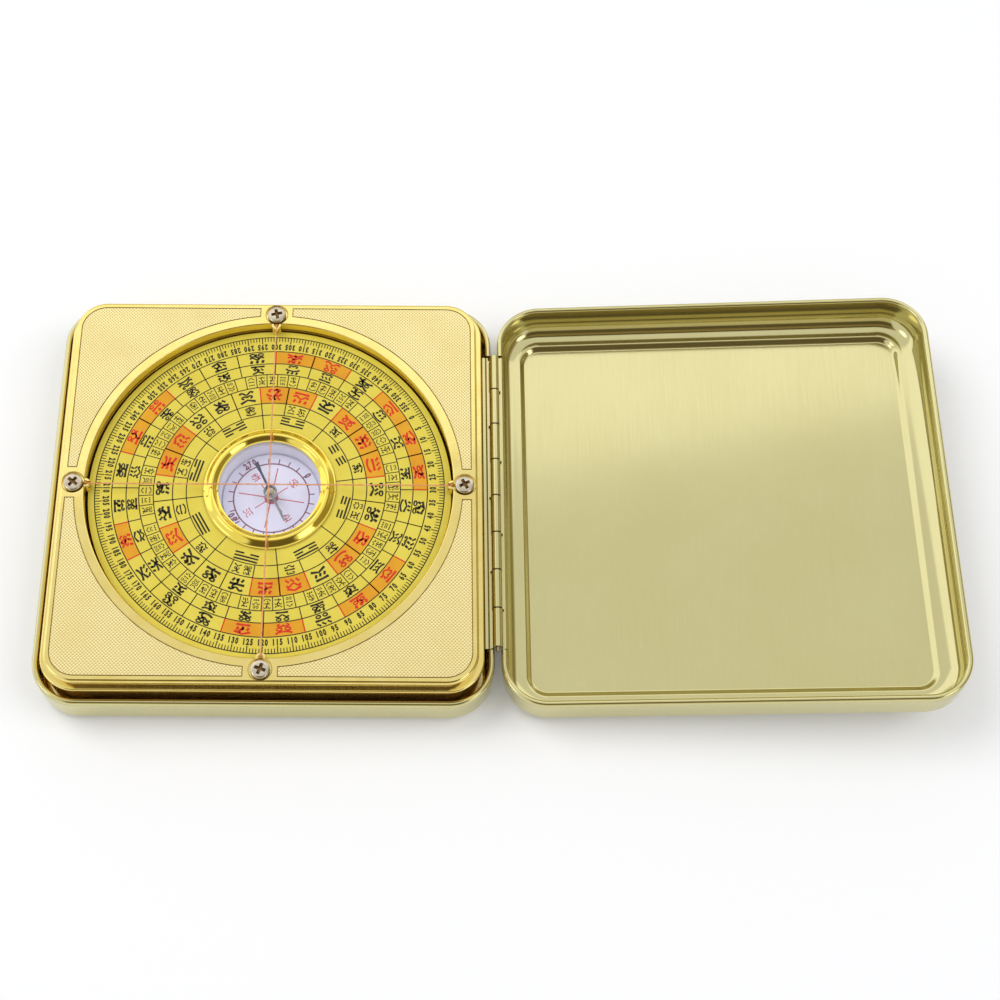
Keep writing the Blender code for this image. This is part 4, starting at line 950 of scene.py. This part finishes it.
def dial_print():
    """The label's print: orange cells, black and red lines, numbers, ornaments and the eight trigrams."""
    orange, black, red = Print(LABEL_TOP + 0.012), Print(LABEL_TOP + 0.024), Print(LABEL_TOP + 0.034)

    def cell(painted, angle, inner, outer, size, seed):
        """A cell of 15 degrees: orange between red lines, or bare between black ones."""
        ink, short, width = (red, 0.05, LINE * 1.2) if painted else (black, 0, LINE)
        if painted:
            orange.sector(inner, outer, angle - 7.5, angle + 7.5)
        for edge in (-7.5, 7.5):
            ink.spoke(angle + edge, inner + short, outer - short, width)
        ink.mark(size, angle, seed)

    for radius in CIRCLES:
        black.sector(radius - LINE / 2, radius + LINE / 2, 0, 360)
    for degree in range(360):
        angle = DIAL_ZERO - degree
        if degree % 5 == 0:
            black.spoke(angle, 31.8, SCALE, LINE)
            black.number(str(degree), FIGURES, angle)
        else:
            black.spoke(angle, 32.25, SCALE, 0.16)
    for number in range(24):
        angle = 15 * number
        cell(angle + 7.5 in ORANGE_A, DIAL_ZERO - angle - 7.5, RING_B, RING_A, MARK_A, 100 + number)
        black.spoke(angle, RING_C, RING_B, LINE)
        black.mark(MARK_B, angle + 7.5, 200 + number)
        painted = min(apart(angle, other) for other in ORANGE_D) < 1
        cell(painted, angle, RING_E, RING_D, MARK_D, 400 + number)
        black.spoke(angle + 7.5, SIGNS, RING_E, LINE)
    blanks = [76.25 - 30 * number for number in range(12)]
    for number in range(72):
        edge = 3.75 + 5 * number
        black.spoke(edge, RING_D, RING_C, LINE * 0.9)
        if min(apart(edge + 2.5, blank) for blank in blanks) > 1.5:
            black.mark(MARK_C, (edge + 2.5) % 360, 300 + number)
    for centre in SINGLE_E:
        black.mark(MARK_SINGLE, centre, 500 + centre)
    for centre in PAIR_E:
        for shift, seed in ((-3.4, 597), (3.4, 603)):
            black.mark(MARK_PAIR, centre + shift, seed + centre)
    for number in range(8):
        black.spoke(7.5 + 45 * number, LABEL_HOLE, SIGNS, LINE)
    for degree, rows in TRIGRAMS.items():
        for radius, solid in zip(SIGN_ROWS, rows):
            whole, halves = [(-SIGN_REACH, SIGN_REACH)], [(-SIGN_REACH, -SIGN_GAP), (SIGN_GAP, SIGN_REACH)]
            for low, high in whole if solid == "1" else halves:
                black.patch(DIAL_ZERO - degree, radius - SIGN_HALF, radius + SIGN_HALF, low, high)
    return [plain("dial_print", sheet.bm) for sheet in (orange, black, red)]


def card_print():
    """The card's print: a graduated circle, numbers, a star and four small ornaments."""
    violet, pink = Print(CARD_TOP + 0.012), Print(CARD_TOP + 0.018)
    violet.sector(7.13, 7.4, 0, 360)
    for number in range(24):
        violet.spoke(CARD_TURN + 15 * number, 7.3, 8.35, 0.22)
    for text, angle in (("0", 35), ("270", 122), ("180", 213), ("90", 305)):
        violet.number(text, CARD_FIGURES, angle, outward=True)
    for number in range(4):
        angle = CARD_TURN + 90 * number
        pink.spoke(angle - 45, 0.5, 6.4, 0.22)
        pink.spoke(angle, 0.5, 3.8, 0.2)
        pink.mark(MARK_CARD, angle, 700 + number)
    pink.sector(0.9, 1.35, 0, 360)
    return [plain("card_print", sheet.bm) for sheet in (violet, pink)]


def build_dial():
    """The disc with its printed label, and the compass with bezel, well, card, window and pivot."""
    disc = [(BORE, DISC_BOTTOM), (DISC - DISC_EDGE, DISC_BOTTOM), (DISC, DISC_BOTTOM + DISC_EDGE)]
    disc += arc(DISC - DISC_ROUND, DISC_TOP - DISC_ROUND, DISC_ROUND, 0, 90, 5)
    disc += [(DISC_SEAT, DISC_TOP), (DISC_SEAT, DISC_TOP - DISC_SEAT_DEPTH), (BORE, DISC_TOP - DISC_SEAT_DEPTH)]
    spun("dial_plate", disc, 192, PLATE, "dial_disc")
    sheet = [(LABEL_HOLE, LABEL_BOTTOM), (LABEL, LABEL_BOTTOM), (LABEL, LABEL_TOP), (LABEL_HOLE, LABEL_TOP)]
    spun("dial_sheet", sheet, 192, YELLOW, "dial_label")
    for mesh, name, material in zip(dial_print(), ("orange", "black", "red"), (ORANGE, BLACK, RED)):
        piece("dial_print_" + name, mesh, "dial", [material], DIAL_PLACE, angle=None)

    ring = [(BEZEL_ROOM, BEZEL_BOTTOM)] + [(radius, BEZEL_BOTTOM + rise) for radius, rise in BEZEL]
    ring.append((BEZEL_ROOM, LENS_TOP + SEAT))
    spun("bezel_ring", ring, 160, RING, "compass_bezel")

    rim, low = CAPSULE_TOP - REBATE_DEPTH, CAPSULE_BOTTOM - SPIGOT_DEPTH
    well = [(0, CAPSULE_BOTTOM + SPIGOT_HOLE_TOP), (SPIGOT_HOLE, CAPSULE_BOTTOM + SPIGOT_HOLE_TOP),
            (SPIGOT_HOLE, low), (SPIGOT, low), (SPIGOT, CAPSULE_BOTTOM), (CAPSULE, CAPSULE_BOTTOM),
            (CAPSULE, DISC_TOP - SEAT), (FLANGE, DISC_TOP - SEAT), (FLANGE, CAPSULE_TOP),
            (REBATE, CAPSULE_TOP), (REBATE, rim), (WELL, rim)]
    well += arc(WELL - WELL_ROUND, WELL_FLOOR + WELL_ROUND, WELL_ROUND, 0, -90, 5) + [(0, WELL_FLOOR)]
    spun("compass_well", well, 128, WHITE, "compass_capsule")
    card = [(CARD_HOLE, CARD_BOTTOM), (CARD, CARD_BOTTOM), (CARD, CARD_TOP), (CARD_HOLE, CARD_TOP)]
    spun("card_sheet", card, 128, WHITE_CARD, "compass_card")
    for mesh, name, material in zip(card_print(), ("violet", "pink"), (VIOLET, PINK)):
        piece("card_print_" + name, mesh, "dial", [material], DIAL_PLACE, angle=None)
    lens = [(0, LENS_BOTTOM), (LENS - LENS_EDGE, LENS_BOTTOM), (LENS, LENS_BOTTOM + LENS_EDGE),
            (LENS, LENS_TOP - LENS_EDGE), (LENS - LENS_EDGE, LENS_TOP), (0, LENS_TOP)]
    spun("window", lens, 128, WINDOW, "compass_lens")

    foot, tip = CARD_BOTTOM + PIVOT_FOOT_HEIGHT, CAP_TOP - CAP_ROOF - SEAT
    pivot = [(0, CARD_BOTTOM), (PIVOT_FOOT, CARD_BOTTOM)]
    pivot += arc(PIVOT_FOOT - PIVOT_ROUND, foot - PIVOT_ROUND, PIVOT_ROUND, 0, 90, 4)
    pivot += [(PIVOT, foot), (PIVOT, tip - PIVOT_POINT), (PIVOT_TIP, tip), (0, tip)]
    spun("pivot_pin", pivot, 32, STEEL, "needle_pivot")


def build_needle():
    """The blade with its swelling blued tip, and the cup that rides on the pivot."""
    swell = [(NEEDLE - TIP_LENGTH, NEEDLE_HALF)]
    for step in range(1, 9):
        part = step / 8
        swell.append((NEEDLE - TIP_LENGTH + (TIP_LENGTH - TIP_HALF) * part,
                      NEEDLE_HALF + (TIP_HALF - NEEDLE_HALF) * math.sin(math.pi / 2 * part)))
    outline = arc(NEEDLE_HALF - NEEDLE, 0, NEEDLE_HALF, 90, 270, 12) + [(x, -y) for x, y in swell]
    outline += arc(NEEDLE - TIP_HALF, 0, TIP_HALF, -90, 90, 12)[1:-1] + swell[::-1]
    top = NEEDLE_Z + NEEDLE_THICK
    blade = prism("compass_blade", outline, NEEDLE_Z, top)
    blade = boolean(blade, "UNION", [peg("eye", NEEDLE_EYE, NEEDLE_Z - NEEDLE_WELD, top + NEEDLE_WELD, 40)])
    blade = boolean(blade, "DIFFERENCE", [peg("hole", NEEDLE_HOLE, NEEDLE_Z - PAST, top + PAST, 40)])
    for face in blade.polygons:
        if face.center.x > 0.9 * MM:
            face.material_index = 1
    piece("compass_blade", blade, "needle", [TAIL, BLUED], NEEDLE_PLACE, "needle", angle=25)
    roof, low = CAP_TOP - CAP_ROOF, CAP_SHOULDER - CAP_DEPTH
    cup = [(0, roof), (CAP_HOLE, roof - CAP_CONE), (CAP_HOLE, low), (CAP - CAP_EDGE, low),
           (CAP, low + CAP_EDGE), (CAP, CAP_SHOULDER - CAP_BREAK), (CAP - CAP_BREAK, CAP_SHOULDER),
           (CAP_NECK, CAP_SHOULDER), (CAP_NECK, CAP_TOP - CAP_ROUND)]
    cup += arc(CAP_NECK - CAP_ROUND, CAP_TOP - CAP_ROUND, CAP_ROUND, 15, 90, 5) + [(0, CAP_TOP)]
    spun("needle_cup", cup, 48, BRASS, "needle_cap", "needle", NEEDLE_PLACE)


def dress_hidden():
    """Finishes for the carried-over pieces inside."""
    for name, material in (("insert_back", DARK), ("mounting_tape_left", FOAM), ("mounting_tape_right", FOAM),
                           ("dial_retainer", STEEL), ("hub_screw", NICKEL)):
        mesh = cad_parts[name].data
        mesh.materials.clear()
        mesh.materials.append(material)


def scenery(name, shape, **sizes):
    """An object made by one of bmesh's own shapes."""
    bm = bmesh.new()
    shape(bm, **sizes)
    return linked(name, plain(name, bm))


def build_floor():
    """A white floor that camera, mirrors and window see paler with distance."""
    floor = scenery("floor", bmesh.ops.create_grid, x_segments=8, y_segments=8, size=3.0)
    floor.location.z = -0.00002
    n = Finish("white_sweep")
    away = n.vector("LENGTH", n.coords).outputs["Value"]
    paler = n.remap(away, 0.25, 1.1, 0.10, 0.48, interpolation_type="SMOOTHSTEP")
    n.put(Base_Color=(0.86, 0.86, 0.865), Roughness=0.9, Specular_IOR_Level=0.0, Emission_Color=(1, 1, 1),
          Emission_Strength=n.math("MULTIPLY", n.seen(), paler))
    floor.data.materials.append(n.material)


def tent_cloth():
    """Shining cloth whose colour depends on the direction from the tent's middle. Its gold and brown tints are
    painted reflections of the gold case.
    """
    material = bpy.data.materials.new("tent_cloth")
    material.use_nodes = True
    material.node_tree.nodes.clear()
    n = Nodes(material.node_tree)
    unit = n.vector("NORMALIZE", n.add("TexCoord").outputs["Object"]).outputs[0]
    split = n.add("SeparateXYZ", {0: unit})
    x, y, z = (split.outputs[axis] for axis in "XYZ")

    def rise(value, low, high):
        return n.remap(value, low, high, interpolation_type="SMOOTHSTEP")

    def fall(value, low, high):
        return n.remap(value, low, high, 1.0, 0.0, interpolation_type="SMOOTHSTEP")

    def both(first, second):
        return n.math("MULTIPLY", first, second)

    def along(direction):
        return n.vector("DOT_PRODUCT", unit, Vector(direction).normalized()).outputs["Value"]

    above = rise(z, 0.02, 0.12)
    right = both(rise(x, 0.56, 0.76), above)
    front = both(fall(n.math("ABSOLUTE", x), 0.38, 0.50), fall(y, -0.34, -0.22))
    band = both(rise(y, -0.41, -0.39), fall(y, -0.30, -0.28))
    wide = both(rise(x, -0.30, -0.22), fall(x, 0.24, 0.32))
    look = TENT_NEAR
    for mask, colour in ((rise(along(TENT_FAR_SIDE), -0.003, 0.003), TENT_FAR),
                         (both(rise(y, 0.74, 0.88), above), TENT_FAR_LOW),
                         (right, TENT_RIGHT_LOW),
                         (both(right, rise(z, 0.30, 0.44)), TENT_RIGHT),
                         (both(front, above), TENT_FRONT_FOOT),
                         (both(front, rise(z, 0.42, 0.56)), TENT_FRONT_LOW),
                         (both(front, rise(z, 0.74, 0.86)), TENT_FRONT_HIGH),
                         (both(both(band, wide), rise(z, 0.80, 0.84)), TENT_CAMERA),
                         (rise(along(TENT_LAMP_LEFT), 0.978, 0.988), TENT_LAMP),
                         (rise(along(TENT_LAMP_RIGHT), 0.978, 0.988), TENT_LAMP)):
        look = n.mix(mask, look, colour)
    shine = n.add("Emission", {"Color": look, "Strength": 1.0})
    n.add("OutputMaterial", {0: shine.outputs[0]})
    return material


def build_tent():
    """A light tent that only reflections see."""
    tent = scenery("light_tent", bmesh.ops.create_uvsphere, u_segments=64, v_segments=32, radius=1.6)
    tent.data.materials.append(tent_cloth())
    for kind in ("camera", "diffuse", "transmission", "shadow", "volume_scatter"):
        setattr(tent, "visible_" + kind, False)


def build_light():
    """White surroundings, and soft lamps that leave a faint shadow."""
    world = bpy.data.worlds.new("studio")
    bpy.context.scene.world = world
    world.use_nodes = True
    world.node_tree.nodes.clear()
    n = Nodes(world.node_tree)
    shown = n.add("Background", {"Color": (1, 1, 1), "Strength": 1.0})
    fill = n.add("Background", {"Color": (0.98, 0.985, 1), "Strength": 0.60})
    mixed = n.add("MixShader", {0: n.seen(), 1: fill.outputs[0], 2: shown.outputs[0]})
    n.add("OutputWorld", {0: mixed.outputs[0]})
    for name, place, power in (("softbox_left", (-0.55, 0.25, 0.85), 4.2),
                               ("softbox_right", (0.6, -0.1, 0.8), 2.5)):
        data = bpy.data.lights.new(name, "AREA")
        data.shape, data.size, data.energy = "SQUARE", 0.6, power
        lamp = linked(name, data)
        lamp.location = place
        lamp.rotation_mode = "QUATERNION"
        lamp.rotation_quaternion = (-Vector(place)).to_track_quat("-Z", "Y")
        lamp.visible_glossy = False
        lamp.visible_camera = False


def build_camera():
    """The photograph's viewpoint."""
    data = bpy.data.cameras.new("camera")
    data.lens, data.sensor_width, data.sensor_fit = 61.12, 36.0, "AUTO"
    data.shift_x, data.shift_y = 0.0819, -0.0061
    data.clip_start, data.clip_end = 0.01, 10.0
    camera = linked("camera", data)
    tilt = Matrix.Rotation(math.radians(90 - ELEVATION), 4, "X") @ Matrix.Rotation(math.radians(ROLL), 4, "Z")
    camera.matrix_world = Matrix.Translation(VIEWPOINT) @ tilt
    bpy.context.scene.camera = camera


build_camera()
build_case()
build_insert()
build_dial()
build_needle()
dress_hidden()
build_floor()
build_tent()
build_light()
bpy.context.scene.view_settings.view_transform = "Standard"
bpy.context.scene.cycles.glossy_bounces = 12
